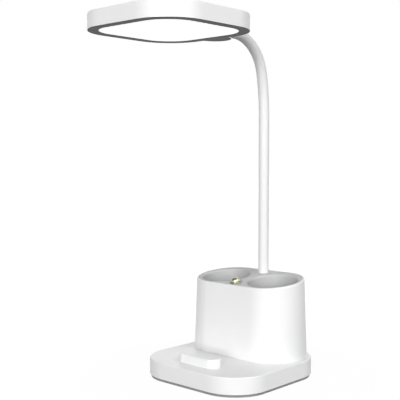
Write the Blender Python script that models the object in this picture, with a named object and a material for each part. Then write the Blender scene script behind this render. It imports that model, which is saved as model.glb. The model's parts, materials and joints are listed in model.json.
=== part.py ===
"""Table lamp with a two-cup pen holder, a phone stop and a flexible neck.

The lamp stands on the table plane, +Z is up and the front faces -Y. The origin is the middle of
the base on the table. All sizes are in metres.
"""

import math

import bmesh
import bpy
from mathutils import Matrix, Vector

# Fits that every piece shares
GAP = 0.0003
OVERRUN = 0.002
MERGE_DISTANCE = 0.000001
SMOOTH_ANGLE = math.radians(32)

# Steps round a quarter corner, an edge fillet, and the sides of round pieces
CORNER_STEPS = 8
FILLET_STEPS = 2
CUP_SIDES = 28
ROD_SIDES = 16
SCREW_SIDES = 8
SLEEVE_SIDES = 16
CORE_SIDES = 8
NECK_TURN_PER_STATION = math.radians(7)

# Base shell: a shallow rounded square, open below
BASE_SIDE = 0.1389
BASE_CORNER = 0.0386
BASE_HEIGHT = 0.0190
BASE_EDGE = 0.0011
BASE_WALL = 0.0024
BASE_ROOF = 0.0024

# Base plate with its stepped rim, and the anti-slip pad under it
PAD_THICKNESS = 0.0010
PAD_INSET = 0.0019
PLATE_INSET = 0.0013
PLATE_FLANGE = 0.0012
PLATE_STEP = 0.0018

# Self-tapping screws that hold the housings
SCREW_R = 0.00135
SCREW_HEAD_R = 0.0028
SCREW_HEAD = 0.0014
SCREW_TIP = 0.0012
SCREW_DRIVE_R = 0.0012
SCREW_DRIVE_DEPTH = 0.0008
PILOT_SPARE = 0.0005
BOSS_R = 0.0035
PLATE_SCREW_LENGTH = 0.0093
PLATE_SCREW_INSET = 0.0174
STOP_SCREW_LENGTH = 0.0092
HOLDER_SCREW_LENGTH = 0.0116

# Posts that carry the boards, with pins through the boards, and the light board's small screws
PIN_R = 0.0007
PIN_POST_R = 0.0022
PIN_END = 0.0008
SMALL_HEAD_R = 0.0015
SMALL_HEAD = 0.0009

# Steel counterweight on two locating pins of the base plate
WEIGHT_WIDTH_SHARE = 0.5184
WEIGHT_DEPTH_SHARE = 0.4608
WEIGHT_FORWARD_SHARE = 0.1296
WEIGHT_HEIGHT = 0.007
WEIGHT_CORNER = 0.006
WEIGHT_PIN_R = 0.003
WEIGHT_PIN_SHARE = 0.30
WEIGHT_PIN_LENGTH = 0.006

# Flat battery pack in the bay between side wall, neck nut, corner boss and counterweight
BATTERY_HEIGHT = 0.008
BATTERY_EDGE = 0.002
BATTERY_WALL_CLEARANCE = 0.01405
BATTERY_NUT_CLEARANCE = 0.0012
BATTERY_BOSS_CLEARANCE = 0.0025
BATTERY_WEIGHT_CLEARANCE = 0.002

# Control board and its charging socket in the rear wall
BOARD_WIDTH = 0.025
BOARD_DEPTH = 0.032
BOARD_THICKNESS = 0.0016
BOARD_LIFT = 0.0024
BOARD_REAR_CLEARANCE = 0.0012
BOARD_X = 0.0235
BOARD_POST_INSET = 0.0035
SOCKET_WIDTH = 0.00894
SOCKET_HEIGHT = 0.00326
SOCKET_DEPTH = 0.0073
SOCKET_WALL = 0.0003
SOCKET_ROUND_SHARE = 0.98
SOCKET_BACK = 0.0012
SOCKET_SETBACK = 0.0008
TONGUE_WIDTH = 0.0067
TONGUE_THICKNESS = 0.0007
TONGUE_SETBACK = 0.0010

# Phone stop with round ends on the front of the base
STOP_LENGTH = 0.0490
STOP_DEPTH = 0.0172
STOP_HEIGHT = 0.0088
STOP_CORNER_SHARE = 0.488
STOP_EDGE = 0.0022
STOP_WALL = 0.0018
STOP_SETBACK = 0.01505
STOP_BOSS_SHARE = 0.30
STOP_BOSS_R = 0.003

# Pen holder: a tapered oval with a rim that falls to the front
HOLDER_LENGTH = 0.1298
HOLDER_DEPTH_SHARE = 0.563945
HOLDER_HEIGHT = 0.0770
HOLDER_SETBACK = 0.0027
HOLDER_WALL = 0.00195
HOLDER_FLOOR = 0.0024
HOLDER_EDGE = 0.0013
HOLDER_TAPER_SHARE = 0.033
RIM_SLOPE_SHARE = 0.105

# Grey insert: deck, skirt and two cups
DECK_DROP = 0.0005
DECK_THICKNESS = 0.0022
DECK_EDGE = 0.0004
SKIRT_DEPTH = 0.008
SKIRT_WALL = 0.0016
CUP_LAND = 0.010
CUP_SIDE_SETBACK = 0.0079
CUP_DRAFT = 0.001
CUP_WALL = 0.0018
CUP_FLOOR = 0.0024
CUP_LIFT = 0.0063
CUP_FORWARD = 0.00165
CUP_LIP = 0.0013
CUP_FILLET = 0.0015
CUP_FOOT_SHARE = 0.58

# Push button between the cups, square to the sloping deck
BUTTON_FRONT_SETBACK = 0.01425
BUTTON_R = 0.0048
BUTTON_HEIGHT = 0.0054
BUTTON_DOME = 0.0036
BUTTON_STEPS = 5
BUTTON_COLLAR = 0.0007
BUTTON_COLLAR_HEIGHT = 0.0010
BUTTON_STEM_R = 0.0015
BUTTON_STEM = 0.0012
BUTTON_TRAVEL = 0.0008
GUIDE_WALL = 0.0005
GUIDE_FLANGE = 0.0006
GUIDE_FLANGE_HEIGHT = 0.0008
PLUNGER_LENGTH = 0.0017
PLUNGER_ENTRY = 0.0006
SWITCH_SIDE = 0.006
SWITCH_HEIGHT = 0.003
SWITCH_BOARD_THICKNESS = 0.0016
SWITCH_BOARD_FRONT = 0.0072
SWITCH_BOARD_WAIST = 0.0024
SWITCH_BOARD_REAR = 0.0042
SWITCH_BOARD_SHARE = 0.178
SWITCH_BOARD_REAR_SHARE = 0.09245
SWITCH_POST_SHARE = 0.0693
SWITCH_POST_Y = 0.0050

# Neck centreline: straight, a slight forward lean, a tight bend, a short level run
NECK_R = 0.00545
NECK_REAR_SETBACK = 0.01335
NECK_STRAIGHT = 0.1651
LEAN_RADIUS = 0.2417
LEAN_ANGLE = math.radians(10.9)
BEND_RADIUS = 0.04535
NECK_RUN = 0.0128

# Neck build: nine lengths of sleeve over a hollow core, with eight ball seams
SEAMS = 8
SLEEVE_WALL = 0.00125
CORE_BORE = 0.0016
BALL_R = 0.0065
BALL_STEPS = 1

# Steel post that carries the neck through the holder to the base
POST_R = 0.005
POST_BORE = 0.0035
POST_TOP_BELOW_DECK = 0.0102
POST_SHOULDER_R = 0.008
POST_SHOULDER = 0.002
POST_TAIL = 0.0013
WASHER_R = 0.009
WASHER = 0.0012
NUT_WIDTH = 0.017
NUT_HEIGHT = 0.005
FERRULE = 0.0035
FERRULE_SPIGOT = 0.010

# Head: a flat rounded square with a round lug for the neck
HEAD_SIDE = 0.1288
HEAD_CORNER = 0.0399
HEAD_HEIGHT = 0.0155
HEAD_EDGE = 0.0011
HEAD_WALL = 0.0020
HEAD_ROOF = 0.0020
HUB_AXIS_HEIGHT = 0.0091
LUG_R = 0.0152
LUG_FILLET = 0.0030
LUG_STEPS = 10
NECK_SEAT = 0.0015
NECK_BLOCK = 0.012
NECK_BLOCK_DEPTH = 0.0048
UPPER_FLANGE = 0.0012
UPPER_SPIGOT_R = 0.0023
HUB_NUT_WIDTH = 0.007
HUB_NUT_HEIGHT = 0.003

# Dark bezel ring and the diffuser that it holds
BEZEL_RING = 0.01007
BEZEL_LIP = 0.0006
BEZEL_STEP = 0.0020
BEZEL_PIN_R = 0.0012
BEZEL_PIN = 0.0048
BEZEL_PIN_INSET = 0.0055
BEZEL_PIN_SHARE = 0.30
BEZEL_BOSS_R = 0.0025
DIFFUSER_FLANGE = 0.0012
DIFFUSER_OVERLAP = 0.0014
DIFFUSER_STOP_R = 0.0015

# Light board under the roof of the head
LIGHT_BOARD_INSET = 0.0125
LIGHT_BOARD = 0.0010
LIGHT_BOARD_DROP = 0.0029
LIGHT_POST_SHARE = 0.44
CHIP_LENGTH = 0.0035
CHIP_WIDTH = 0.0028
CHIP_HEIGHT = 0.0008
CHIP_PITCH_SHARE = 0.22
CHIP_ROWS = 4

# Heights above the table that follow from the sizes
base_half = BASE_SIDE / 2
plate_bottom = PAD_THICKNESS + GAP
flange_top = plate_bottom + PLATE_FLANGE
plate_top = flange_top + PLATE_STEP
shell_bottom = flange_top + GAP
roof_under = BASE_HEIGHT - BASE_ROOF
on_plate = plate_top + GAP

# Places of the holder and of what stands in it
holder_depth = HOLDER_LENGTH * HOLDER_DEPTH_SHARE
holder_y = base_half - HOLDER_SETBACK - holder_depth / 2
holder_foot = BASE_HEIGHT + GAP
holder_floor_top = holder_foot + HOLDER_FLOOR
rim_z = holder_foot + HOLDER_HEIGHT
cup_r = (HOLDER_LENGTH / 2 - CUP_LAND / 2 - CUP_SIDE_SETBACK) / 2
cup_floor_r = cup_r - CUP_DRAFT
cup_x = CUP_LAND / 2 + cup_r
cup_y = holder_y - CUP_FORWARD
cup_bottom = holder_floor_top + CUP_LIFT
cup_floor_top = cup_bottom + CUP_FLOOR
button_y = holder_y - holder_depth / 2 + BUTTON_FRONT_SETBACK
neck_y = holder_y + holder_depth / 2 - NECK_REAR_SETBACK
stop_y = -base_half + STOP_SETBACK + STOP_DEPTH / 2
stop_corner = STOP_DEPTH * STOP_CORNER_SHARE
weight_width = BASE_SIDE * WEIGHT_WIDTH_SHARE
weight_depth = BASE_SIDE * WEIGHT_DEPTH_SHARE
weight_y = -BASE_SIDE * WEIGHT_FORWARD_SHARE


def deck_z(y, drop=0.0):
    """Height of the sloping rim plane at y, lowered by drop."""
    return rim_z - drop + RIM_SLOPE_SHARE * (y - holder_y)


# The neck starts where it leaves the deck, and the head hangs from its end
neck_foot_z = deck_z(neck_y, DECK_DROP)
lean_length = LEAN_RADIUS * LEAN_ANGLE
bend_length = BEND_RADIUS * (math.pi / 2 - LEAN_ANGLE)
neck_length = NECK_STRAIGHT + lean_length + bend_length + NECK_RUN
sleeve_bore = NECK_R - SLEEVE_WALL
core_r = sleeve_bore - GAP
seam_rise = math.sqrt(BALL_R ** 2 - NECK_R ** 2)


def neck_point(s):
    """Point of the neck's centreline at a length s above the deck, and its direction."""
    if s <= NECK_STRAIGHT:
        return Vector((0, neck_y, neck_foot_z + s)), Vector((0, 0, 1))
    turn = min(s - NECK_STRAIGHT, lean_length) / LEAN_RADIUS
    y = neck_y - LEAN_RADIUS * (1 - math.cos(turn))
    z = neck_foot_z + NECK_STRAIGHT + LEAN_RADIUS * math.sin(turn)
    beyond = s - NECK_STRAIGHT - lean_length
    if beyond > 0:
        bent = min(beyond, bend_length) / BEND_RADIUS
        y -= BEND_RADIUS * (math.cos(LEAN_ANGLE) - math.cos(LEAN_ANGLE + bent))
        z += BEND_RADIUS * (math.sin(LEAN_ANGLE + bent) - math.sin(LEAN_ANGLE))
        turn = LEAN_ANGLE + bent
        y -= max(beyond - bend_length, 0)
    return Vector((0, y, z)), Vector((0, -math.sin(turn), math.cos(turn)))


neck_end = neck_point(neck_length)[0]
head_half = HEAD_SIDE / 2
head_y = neck_end.y - LUG_R - head_half
head_bottom = neck_end.z - HUB_AXIS_HEIGHT
head_top = head_bottom + HEAD_HEIGHT
bezel_top = head_bottom + BEZEL_LIP + BEZEL_STEP
housing_bottom = head_bottom + BEZEL_LIP + GAP
head_roof_under = head_top - HEAD_ROOF
light_board_top = head_roof_under - LIGHT_BOARD_DROP
light_board_under = light_board_top - LIGHT_BOARD
diffuser_top = bezel_top + GAP + DIFFUSER_FLANGE
seat_y = neck_end.y - NECK_SEAT


def seam_length(i):
    """Length above the deck at which seam i lies."""
    return neck_length * (i + 0.5) / SEAMS


def pivot(i):
    """Centre of the ball under seam i."""
    centre, direction = neck_point(seam_length(i))
    return centre - direction * seam_rise


# Outlines are chains of arcs, and straight edges join one arc to the next

def rounded(half_x, half_y, radius, x=0.0, y=0.0):
    """Arcs of a rounded rectangle, anticlockwise."""
    arcs = []
    for quarter, (side_x, side_y) in enumerate(((1, 1), (-1, 1), (-1, -1), (1, -1))):
        centre_x = x + side_x * (half_x - radius)
        centre_y = y + side_y * (half_y - radius)
        start = math.pi / 2 * quarter
        arcs.append((centre_x, centre_y, radius, start, start + math.pi / 2, CORNER_STEPS, 1))
    return arcs


def lugged(half, radius, y):
    """Arcs of the head's outline: a rounded square whose rear edge swells into the lug."""
    corners = rounded(half, half, radius, 0.0, y)
    edge = y + half
    flank = math.sqrt((LUG_R + LUG_FILLET) ** 2 - LUG_FILLET ** 2)
    lean = math.atan2(LUG_FILLET, flank)
    right_fillet = (flank, edge + LUG_FILLET, LUG_FILLET, -math.pi / 2, lean - math.pi,
                    FILLET_STEPS, -1)
    lug = (0.0, edge, LUG_R, lean, math.pi - lean, LUG_STEPS, 1)
    left_fillet = (-flank, edge + LUG_FILLET, LUG_FILLET, -lean, -math.pi / 2, FILLET_STEPS, -1)
    return [corners[0], right_fillet, lug, left_fillet] + corners[1:]


def outline(arcs, inset=0.0):
    """Points of a chain of arcs, all drawn in by inset."""
    points = []
    for x, y, radius, start, end, steps, side in arcs:
        reach = radius - side * inset
        for i in range(steps + 1):
            angle = start + (end - start) * i / steps
            points.append((x + reach * math.cos(angle), y + reach * math.sin(angle)))
    return points


def level(points, z):
    """A flat ring of outline points at one height."""
    return [Vector((x, y, z)) for x, y in points]


def fillet_rings(arcs, inset, top, radius):
    """Rings that round the upper edge of a wall."""
    rings = []
    for i in range(FILLET_STEPS + 1):
        angle = math.pi / 2 * i / FILLET_STEPS
        drawn_in = inset + radius * (1 - math.cos(angle))
        rings.append(level(outline(arcs, drawn_in), top - radius * (1 - math.sin(angle))))
    return rings


def holder_points(inset, level_z=None, drop=0.0):
    """Ring of the holder's tapered oval, level at one height or on the sloping rim plane."""
    end_r = holder_depth / 2 - inset
    end_x = (HOLDER_LENGTH - holder_depth) / 2
    steps = 2 * CORNER_STEPS
    ring = []
    for side, start in ((1, -math.pi / 2), (-1, math.pi / 2)):
        for i in range(steps + 1):
            angle = start + math.pi * i / steps
            sine = math.sin(angle)
            z = level_z
            if z is None:
                lift = RIM_SLOPE_SHARE * sine * (end_r + HOLDER_TAPER_SHARE * holder_foot)
                z = (rim_z - drop + lift) / (1 + RIM_SLOPE_SHARE * HOLDER_TAPER_SHARE * sine)
            radius = end_r - HOLDER_TAPER_SHARE * (z - holder_foot)
            ring.append(Vector((side * end_x + radius * math.cos(angle), holder_y + radius * sine, z)))
    return ring


def cup_ring(x, radius, level_z=None, drop=0.0):
    """Ring of a round cup, level at one height or on the sloping rim plane."""
    ring = []
    for i in range(CUP_SIDES):
        angle = 2 * math.pi * i / CUP_SIDES
        y = cup_y + radius * math.sin(angle)
        z = deck_z(y, drop) if level_z is None else level_z
        ring.append(Vector((x + radius * math.cos(angle), y, z)))
    return ring


# Solids are added to a mesh as closed bodies

def add_stack(bm, rings):
    """Grow a closed body by extruding a cap from ring to ring; gives its first and last cap."""
    first = bm.faces.new([bm.verts.new(point) for point in rings[0]])
    cap = first
    for ring in rings[1:]:
        grown = bmesh.ops.extrude_face_region(bm, geom=[cap])["geom"]
        if cap is not first:
            bmesh.ops.delete(bm, geom=[cap], context="FACES_ONLY")
        cap = next(item for item in grown if isinstance(item, bmesh.types.BMFace))
        for vert, point in zip(cap.verts, ring):
            vert.co = point
    return first, cap


def add_pipe(bm, rings):
    """Grow a body from ring to ring and join its last ring to its first."""
    first, last = add_stack(bm, rings)
    edges = list(first.edges) + list(last.edges)
    bmesh.ops.delete(bm, geom=[first, last], context="FACES_ONLY")
    bmesh.ops.bridge_loops(bm, edges=edges)


def add_rod(bm, place, radius, low, high, sides=ROD_SIDES):
    """Add a round or many-sided rod along the Z axis of place."""
    centre = place @ Matrix.Translation((0, 0, (low + high) / 2))
    bmesh.ops.create_cone(bm, cap_ends=True, segments=sides, radius1=radius, radius2=radius,
                          depth=high - low, matrix=centre)


def add_block(bm, low, high, place=Matrix.Identity(4)):
    """Add a box between two corners."""
    low = Vector(low)
    high = Vector(high)
    size = Matrix.Diagonal((*(high - low), 1))
    bmesh.ops.create_cube(bm, size=1, matrix=place @ Matrix.Translation((low + high) / 2) @ size)


def add_turned(bm, place, profile, sides=ROD_SIDES):
    """Spin a profile of (radius, height) points round the Z axis of place.

    A profile that starts and ends on the axis is solid, and any other is closed into a ring.
    """
    turned = bmesh.new()
    verts = [turned.verts.new((radius, 0, z)) for radius, z in profile]
    edges = [turned.edges.new(pair) for pair in zip(verts, verts[1:])]
    if profile[0][0] > 0:
        edges.append(turned.edges.new((verts[-1], verts[0])))
    bmesh.ops.spin(turned, geom=verts + edges, cent=(0, 0, 0), axis=(0, 0, 1), dvec=(0, 0, 0),
                   angle=2 * math.pi, steps=sides, use_merge=True)
    bmesh.ops.remove_doubles(turned, verts=turned.verts, dist=MERGE_DISTANCE)
    bmesh.ops.transform(turned, matrix=place, verts=turned.verts)
    mesh = bpy.data.meshes.new("turned")
    turned.to_mesh(mesh)
    turned.free()
    bm.from_mesh(mesh)
    bpy.data.meshes.remove(mesh)


def upright(x, y):
    """Frame of a vertical axis through x, y."""
    return Matrix.Translation((x, y, 0))


def rearward(x, z):
    """Frame whose Z axis runs along world Y, through x and z."""
    return Matrix.Translation((x, 0, z)) @ Matrix.Rotation(-math.pi / 2, 4, "X")


# Objects

def surface(name, colour, roughness, metallic=0.0):
    """A plain Principled material."""
    material = bpy.data.materials.new(name)
    material.use_nodes = True
    shader = material.node_tree.nodes["Principled BSDF"]
    shader.inputs["Base Color"].default_value = (*colour, 1.0)
    shader.inputs["Roughness"].default_value = roughness
    shader.inputs["Metallic"].default_value = metallic
    return material


def new_object(name, bm):
    """Close a mesh, face it outwards and put it in the scene."""
    bmesh.ops.remove_doubles(bm, verts=bm.verts, dist=MERGE_DISTANCE)
    bmesh.ops.recalc_face_normals(bm, faces=bm.faces)
    mesh = bpy.data.meshes.new(name)
    bm.to_mesh(mesh)
    bm.free()
    mesh.shade_smooth()
    mesh.set_sharp_from_angle(angle=SMOOTH_ANGLE)
    thing = bpy.data.objects.new(name, mesh)
    bpy.context.scene.collection.objects.link(thing)
    return thing


def piece(name, bm, material, carrier):
    """A finished piece that its carrier moves."""
    thing = new_object(name, bm)
    thing.data.materials.append(material)
    thing.parent = carrier
    thing.matrix_parent_inverse = carrier.matrix_world.inverted()
    return thing


def shape_with(thing, bm, operation):
    """Join a helper body to a piece, or cut it out of the piece."""
    helper = new_object(f"{thing.name}_{operation.lower()}_{len(thing.modifiers)}", bm)
    helper.hide_render = True
    helper.display_type = "WIRE"
    helper.parent = thing
    modifier = thing.modifiers.new(operation.capitalize(), "BOOLEAN")
    modifier.operation = operation
    modifier.object = helper


def joint_frame(name, place, carrier=None):
    """An empty on a joint's axis."""
    empty = bpy.data.objects.new(name, None)
    empty.empty_display_size = NECK_R
    bpy.context.scene.collection.objects.link(empty)
    if carrier:
        empty.parent = carrier
        empty.matrix_parent_inverse = carrier.matrix_world.inverted()
    empty.matrix_basis = place
    bpy.context.view_layer.update()
    return empty


def add_screw(bm, place, length):
    """Screw whose head stands on the XY plane of place, with its shank along +Z."""
    add_turned(bm, place, (
        (0, SCREW_DRIVE_DEPTH - SCREW_HEAD), (SCREW_DRIVE_R, SCREW_DRIVE_DEPTH - SCREW_HEAD),
        (SCREW_DRIVE_R, -SCREW_HEAD), (SCREW_HEAD_R, -SCREW_HEAD), (SCREW_HEAD_R, 0),
        (SCREW_R, 0), (SCREW_R, length - SCREW_TIP), (0, length)), SCREW_SIDES)


def add_small_screw(bm, place, length):
    """Small pan-head screw of the light board, with its shank along +Z."""
    add_turned(bm, place, (
        (0, -SMALL_HEAD), (SMALL_HEAD_R, -SMALL_HEAD), (SMALL_HEAD_R, 0), (PIN_R, 0),
        (PIN_R, length), (0, length)), SCREW_SIDES)


def add_pin_post(bm, place, low, shoulder, pin):
    """Post along +Z whose end steps down to a pin for a board."""
    add_turned(bm, place, (
        (0, low), (PIN_POST_R, low), (PIN_POST_R, shoulder), (PIN_R, shoulder),
        (PIN_R, shoulder + pin), (0, shoulder + pin)), SCREW_SIDES)


def put_screws(name, places, height, length, material, carrier):
    """Numbered screws with their heads below a height and their shanks upwards."""
    for number, (x, y) in enumerate(places, 1):
        bm = bmesh.new()
        add_screw(bm, upright(x, y) @ Matrix.Translation((0, 0, height)), length)
        piece(f"{name}_{number}", bm, material, carrier)


# Places that two or more pieces share

def plate_screw_places():
    """Corners of the base where its screws stand."""
    reach = base_half - PLATE_SCREW_INSET
    return [(x * reach, y * reach) for x in (-1, 1) for y in (-1, 1)]


def stop_screw_places():
    """Screws of the phone stop."""
    return [(side * STOP_LENGTH * STOP_BOSS_SHARE, stop_y) for side in (-1, 1)]


def holder_screw_places():
    """Screws that run up through the base and the holder's floor into the feet of the cups."""
    reach = cup_floor_r * CUP_FOOT_SHARE
    return [(x * cup_x, cup_y + y * reach) for x in (-1, 1) for y in (-1, 1)]


def board_post_places():
    """Posts of the control board."""
    front = board_rear() - BOARD_DEPTH + BOARD_POST_INSET
    reach = BOARD_WIDTH / 2 - BOARD_POST_INSET
    return [(BOARD_X + side * reach, front) for side in (-1, 1)]


def board_rear():
    """Rear edge of the control board, at the base's rear wall."""
    return base_half - BASE_WALL - BOARD_REAR_CLEARANCE


def weight_pin_places():
    """Locating pins of the counterweight."""
    return [(side * weight_width * WEIGHT_PIN_SHARE, weight_y) for side in (-1, 1)]


def deck_frame():
    """Frame of the push button: its Z axis is square to the sloping deck."""
    place = Matrix.Translation((0, button_y, deck_z(button_y, DECK_DROP)))
    return place @ Matrix.Rotation(math.atan(RIM_SLOPE_SHARE), 4, "X")


def switch_post_places():
    """Frames of the posts that hang from the deck for the switch board, with Z downwards."""
    turned = deck_frame() @ Matrix.Rotation(math.pi, 4, "X")
    reach = HOLDER_LENGTH * SWITCH_POST_SHARE
    return [turned @ Matrix.Translation((side * reach, SWITCH_POST_Y, 0)) for side in (-1, 1)]


def bezel_pin_places():
    """Pins of the bezel along the four sides of the head."""
    across = head_half - BEZEL_PIN_INSET
    along = head_half * BEZEL_PIN_SHARE
    places = []
    for side in (-1, 1):
        for step in (-1, 1):
            places.append((side * across, head_y + step * along))
            places.append((step * along, head_y + side * across))
    return places


def light_post_places():
    """Posts of the light board."""
    reach = head_half * LIGHT_POST_SHARE
    return [(x * reach, head_y + y * reach) for x in (-1, 1) for y in (-1, 1)]


# Base

def make_foot_pad(carrier, rubber):
    bm = bmesh.new()
    arcs = rounded(base_half, base_half, BASE_CORNER)
    points = outline(arcs, PAD_INSET)
    add_stack(bm, [level(points, 0.0), level(points, PAD_THICKNESS)])
    piece("foot_pad", bm, rubber, carrier)


def make_base_plate(carrier, dark_plastic):
    bm = bmesh.new()
    arcs = rounded(base_half, base_half, BASE_CORNER)
    rim = outline(arcs, PLATE_INSET)
    inner = outline(arcs, BASE_WALL + GAP)
    add_stack(bm, [level(rim, plate_bottom), level(rim, flange_top), level(inner, flange_top),
                   level(inner, plate_top)])
    plate = piece("base_plate", bm, dark_plastic, carrier)

    posts = bmesh.new()
    root = plate_top - PLATE_STEP / 2
    for x, y in weight_pin_places():
        add_rod(posts, upright(x, y), WEIGHT_PIN_R, root, on_plate + WEIGHT_PIN_LENGTH)
    for x, y in board_post_places():
        add_pin_post(posts, upright(x, y), root, plate_top + BOARD_LIFT,
                     BOARD_THICKNESS + GAP + PIN_END)
    shape_with(plate, posts, "UNION")

    holes = bmesh.new()
    for x, y in plate_screw_places():
        add_turned(holes, upright(x, y), (
            (0, plate_bottom - OVERRUN), (SCREW_HEAD_R + GAP, plate_bottom - OVERRUN),
            (SCREW_HEAD_R + GAP, plate_bottom + SCREW_HEAD + GAP),
            (SCREW_R + GAP, plate_bottom + SCREW_HEAD + GAP),
            (SCREW_R + GAP, plate_top + OVERRUN), (0, plate_top + OVERRUN)))
    shape_with(plate, holes, "DIFFERENCE")


def make_plate_screws(carrier, steel):
    put_screws("plate_screw", plate_screw_places(), plate_bottom + SCREW_HEAD, PLATE_SCREW_LENGTH,
               steel, carrier)


def make_base_shell(carrier, white_plastic):
    bm = bmesh.new()
    arcs = rounded(base_half, base_half, BASE_CORNER)
    inner = outline(arcs, BASE_WALL)
    rings = [level(inner, roof_under), level(inner, shell_bottom), level(outline(arcs), shell_bottom)]
    rings += fillet_rings(arcs, 0.0, BASE_HEIGHT, BASE_EDGE)
    add_stack(bm, rings)
    shell = piece("base_shell", bm, white_plastic, carrier)

    bosses = bmesh.new()
    for x, y in plate_screw_places():
        add_rod(bosses, upright(x, y), BOSS_R, on_plate, roof_under + BASE_ROOF / 2)
    shape_with(shell, bosses, "UNION")

    holes = bmesh.new()
    pilot_top = plate_bottom + SCREW_HEAD + PLATE_SCREW_LENGTH + PILOT_SPARE
    for x, y in plate_screw_places():
        add_rod(holes, upright(x, y), SCREW_R + GAP, on_plate - OVERRUN, pilot_top, SCREW_SIDES)
    for x, y in stop_screw_places() + holder_screw_places():
        add_rod(holes, upright(x, y), SCREW_R + GAP, roof_under - OVERRUN, BASE_HEIGHT + OVERRUN,
                SCREW_SIDES)
    add_rod(holes, upright(0, neck_y), POST_R + GAP, roof_under - OVERRUN, BASE_HEIGHT + OVERRUN)
    add_socket_body(holes, GAP, base_half - BASE_WALL - OVERRUN, base_half + OVERRUN)
    shape_with(shell, holes, "DIFFERENCE")


def make_counterweight(carrier, steel):
    bm = bmesh.new()
    points = outline(rounded(weight_width / 2, weight_depth / 2, WEIGHT_CORNER, 0.0, weight_y))
    add_stack(bm, [level(points, on_plate), level(points, on_plate + WEIGHT_HEIGHT)])
    weight = piece("counterweight", bm, steel, carrier)
    holes = bmesh.new()
    for x, y in weight_pin_places():
        add_rod(holes, upright(x, y), WEIGHT_PIN_R + GAP, on_plate - OVERRUN,
                on_plate + WEIGHT_HEIGHT + OVERRUN)
    shape_with(weight, holes, "DIFFERENCE")


def make_battery_pack(carrier, wrap):
    bm = bmesh.new()
    left = -base_half + BASE_WALL + BATTERY_WALL_CLEARANCE
    right = -NUT_WIDTH / math.sqrt(3) - BATTERY_NUT_CLEARANCE
    front = weight_y + weight_depth / 2 + BATTERY_WEIGHT_CLEARANCE
    rear = base_half - PLATE_SCREW_INSET - BOSS_R - BATTERY_BOSS_CLEARANCE
    add_block(bm, (left, front, on_plate), (right, rear, on_plate + BATTERY_HEIGHT))
    bmesh.ops.bevel(bm, geom=list(bm.edges), offset=BATTERY_EDGE, segments=2, profile=0.5,
                    affect="EDGES", material=-1)
    piece("battery_pack", bm, wrap, carrier)


def make_circuit_board(carrier, board_green):
    bm = bmesh.new()
    low = plate_top + BOARD_LIFT + GAP
    rear = board_rear()
    add_block(bm, (BOARD_X - BOARD_WIDTH / 2, rear - BOARD_DEPTH, low),
              (BOARD_X + BOARD_WIDTH / 2, rear, low + BOARD_THICKNESS))
    board = piece("circuit_board", bm, board_green, carrier)
    holes = bmesh.new()
    for x, y in board_post_places():
        add_rod(holes, upright(x, y), PIN_R + GAP, low - OVERRUN, low + BOARD_THICKNESS + OVERRUN,
                SCREW_SIDES)
    shape_with(board, holes, "DIFFERENCE")


def socket_z():
    """Height of the charging socket's axis, on top of the control board."""
    return plate_top + BOARD_LIFT + BOARD_THICKNESS + 2 * GAP + SOCKET_HEIGHT / 2


def add_socket_body(bm, swell, front, rear):
    """A flat bar with round sides along Y, for the socket and for the hole it fits."""
    half_x = SOCKET_WIDTH / 2 + swell
    half_z = SOCKET_HEIGHT / 2 + swell
    arcs = rounded(half_x, half_z, half_z * SOCKET_ROUND_SHARE, BOARD_X, socket_z())
    points = outline(arcs)
    add_stack(bm, [[Vector((x, y, z)) for x, z in points] for y in (front, rear)])


def make_charge_socket(carrier, steel):
    bm = bmesh.new()
    mouth = base_half - SOCKET_SETBACK
    back = mouth - SOCKET_DEPTH
    add_socket_body(bm, 0.0, back, mouth)
    socket = piece("charge_socket", bm, steel, carrier)
    hollow = bmesh.new()
    add_socket_body(hollow, -SOCKET_WALL, back + SOCKET_BACK, mouth + OVERRUN)
    shape_with(socket, hollow, "DIFFERENCE")
    tongue = bmesh.new()
    half_x = TONGUE_WIDTH / 2
    half_z = TONGUE_THICKNESS / 2
    add_block(tongue, (BOARD_X - half_x, back + SOCKET_BACK / 2, socket_z() - half_z),
              (BOARD_X + half_x, mouth - TONGUE_SETBACK, socket_z() + half_z))
    shape_with(socket, tongue, "UNION")


def make_phone_stop(carrier, white_plastic, steel):
    bm = bmesh.new()
    foot = BASE_HEIGHT + GAP
    top = foot + STOP_HEIGHT
    arcs = rounded(STOP_LENGTH / 2, STOP_DEPTH / 2, stop_corner, 0.0, stop_y)
    inner = outline(arcs, STOP_WALL)
    rings = [level(inner, top - STOP_WALL), level(inner, foot), level(outline(arcs), foot)]
    add_stack(bm, rings + fillet_rings(arcs, 0.0, top, STOP_EDGE))
    stop = piece("phone_stop", bm, white_plastic, carrier)
    bosses = bmesh.new()
    holes = bmesh.new()
    seat = roof_under - GAP
    for x, y in stop_screw_places():
        add_rod(bosses, upright(x, y), STOP_BOSS_R, foot, top - STOP_WALL / 2)
        add_rod(holes, upright(x, y), SCREW_R + GAP, foot - OVERRUN,
                seat + STOP_SCREW_LENGTH + PILOT_SPARE, SCREW_SIDES)
    shape_with(stop, bosses, "UNION")
    shape_with(stop, holes, "DIFFERENCE")
    put_screws("stop_screw", stop_screw_places(), seat, STOP_SCREW_LENGTH, steel, carrier)


# Pen holder

def make_holder_shell(carrier, white_plastic):
    bm = bmesh.new()
    rings = [holder_points(HOLDER_WALL, holder_floor_top), holder_points(HOLDER_WALL)]
    for i in range(FILLET_STEPS, -1, -1):
        angle = math.pi / 2 * i / FILLET_STEPS
        rings.append(holder_points(HOLDER_EDGE * (1 - math.cos(angle)), None,
                                   HOLDER_EDGE * (1 - math.sin(angle))))
    rings.append(holder_points(0.0, holder_foot))
    add_stack(bm, rings)
    shell = piece("holder_shell", bm, white_plastic, carrier)
    holes = bmesh.new()
    low = holder_foot - OVERRUN
    high = holder_floor_top + OVERRUN
    add_rod(holes, upright(0, neck_y), POST_R + GAP, low, high)
    for x, y in holder_screw_places():
        add_rod(holes, upright(x, y), SCREW_R + GAP, low, high, SCREW_SIDES)
    shape_with(shell, holes, "DIFFERENCE")


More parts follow.
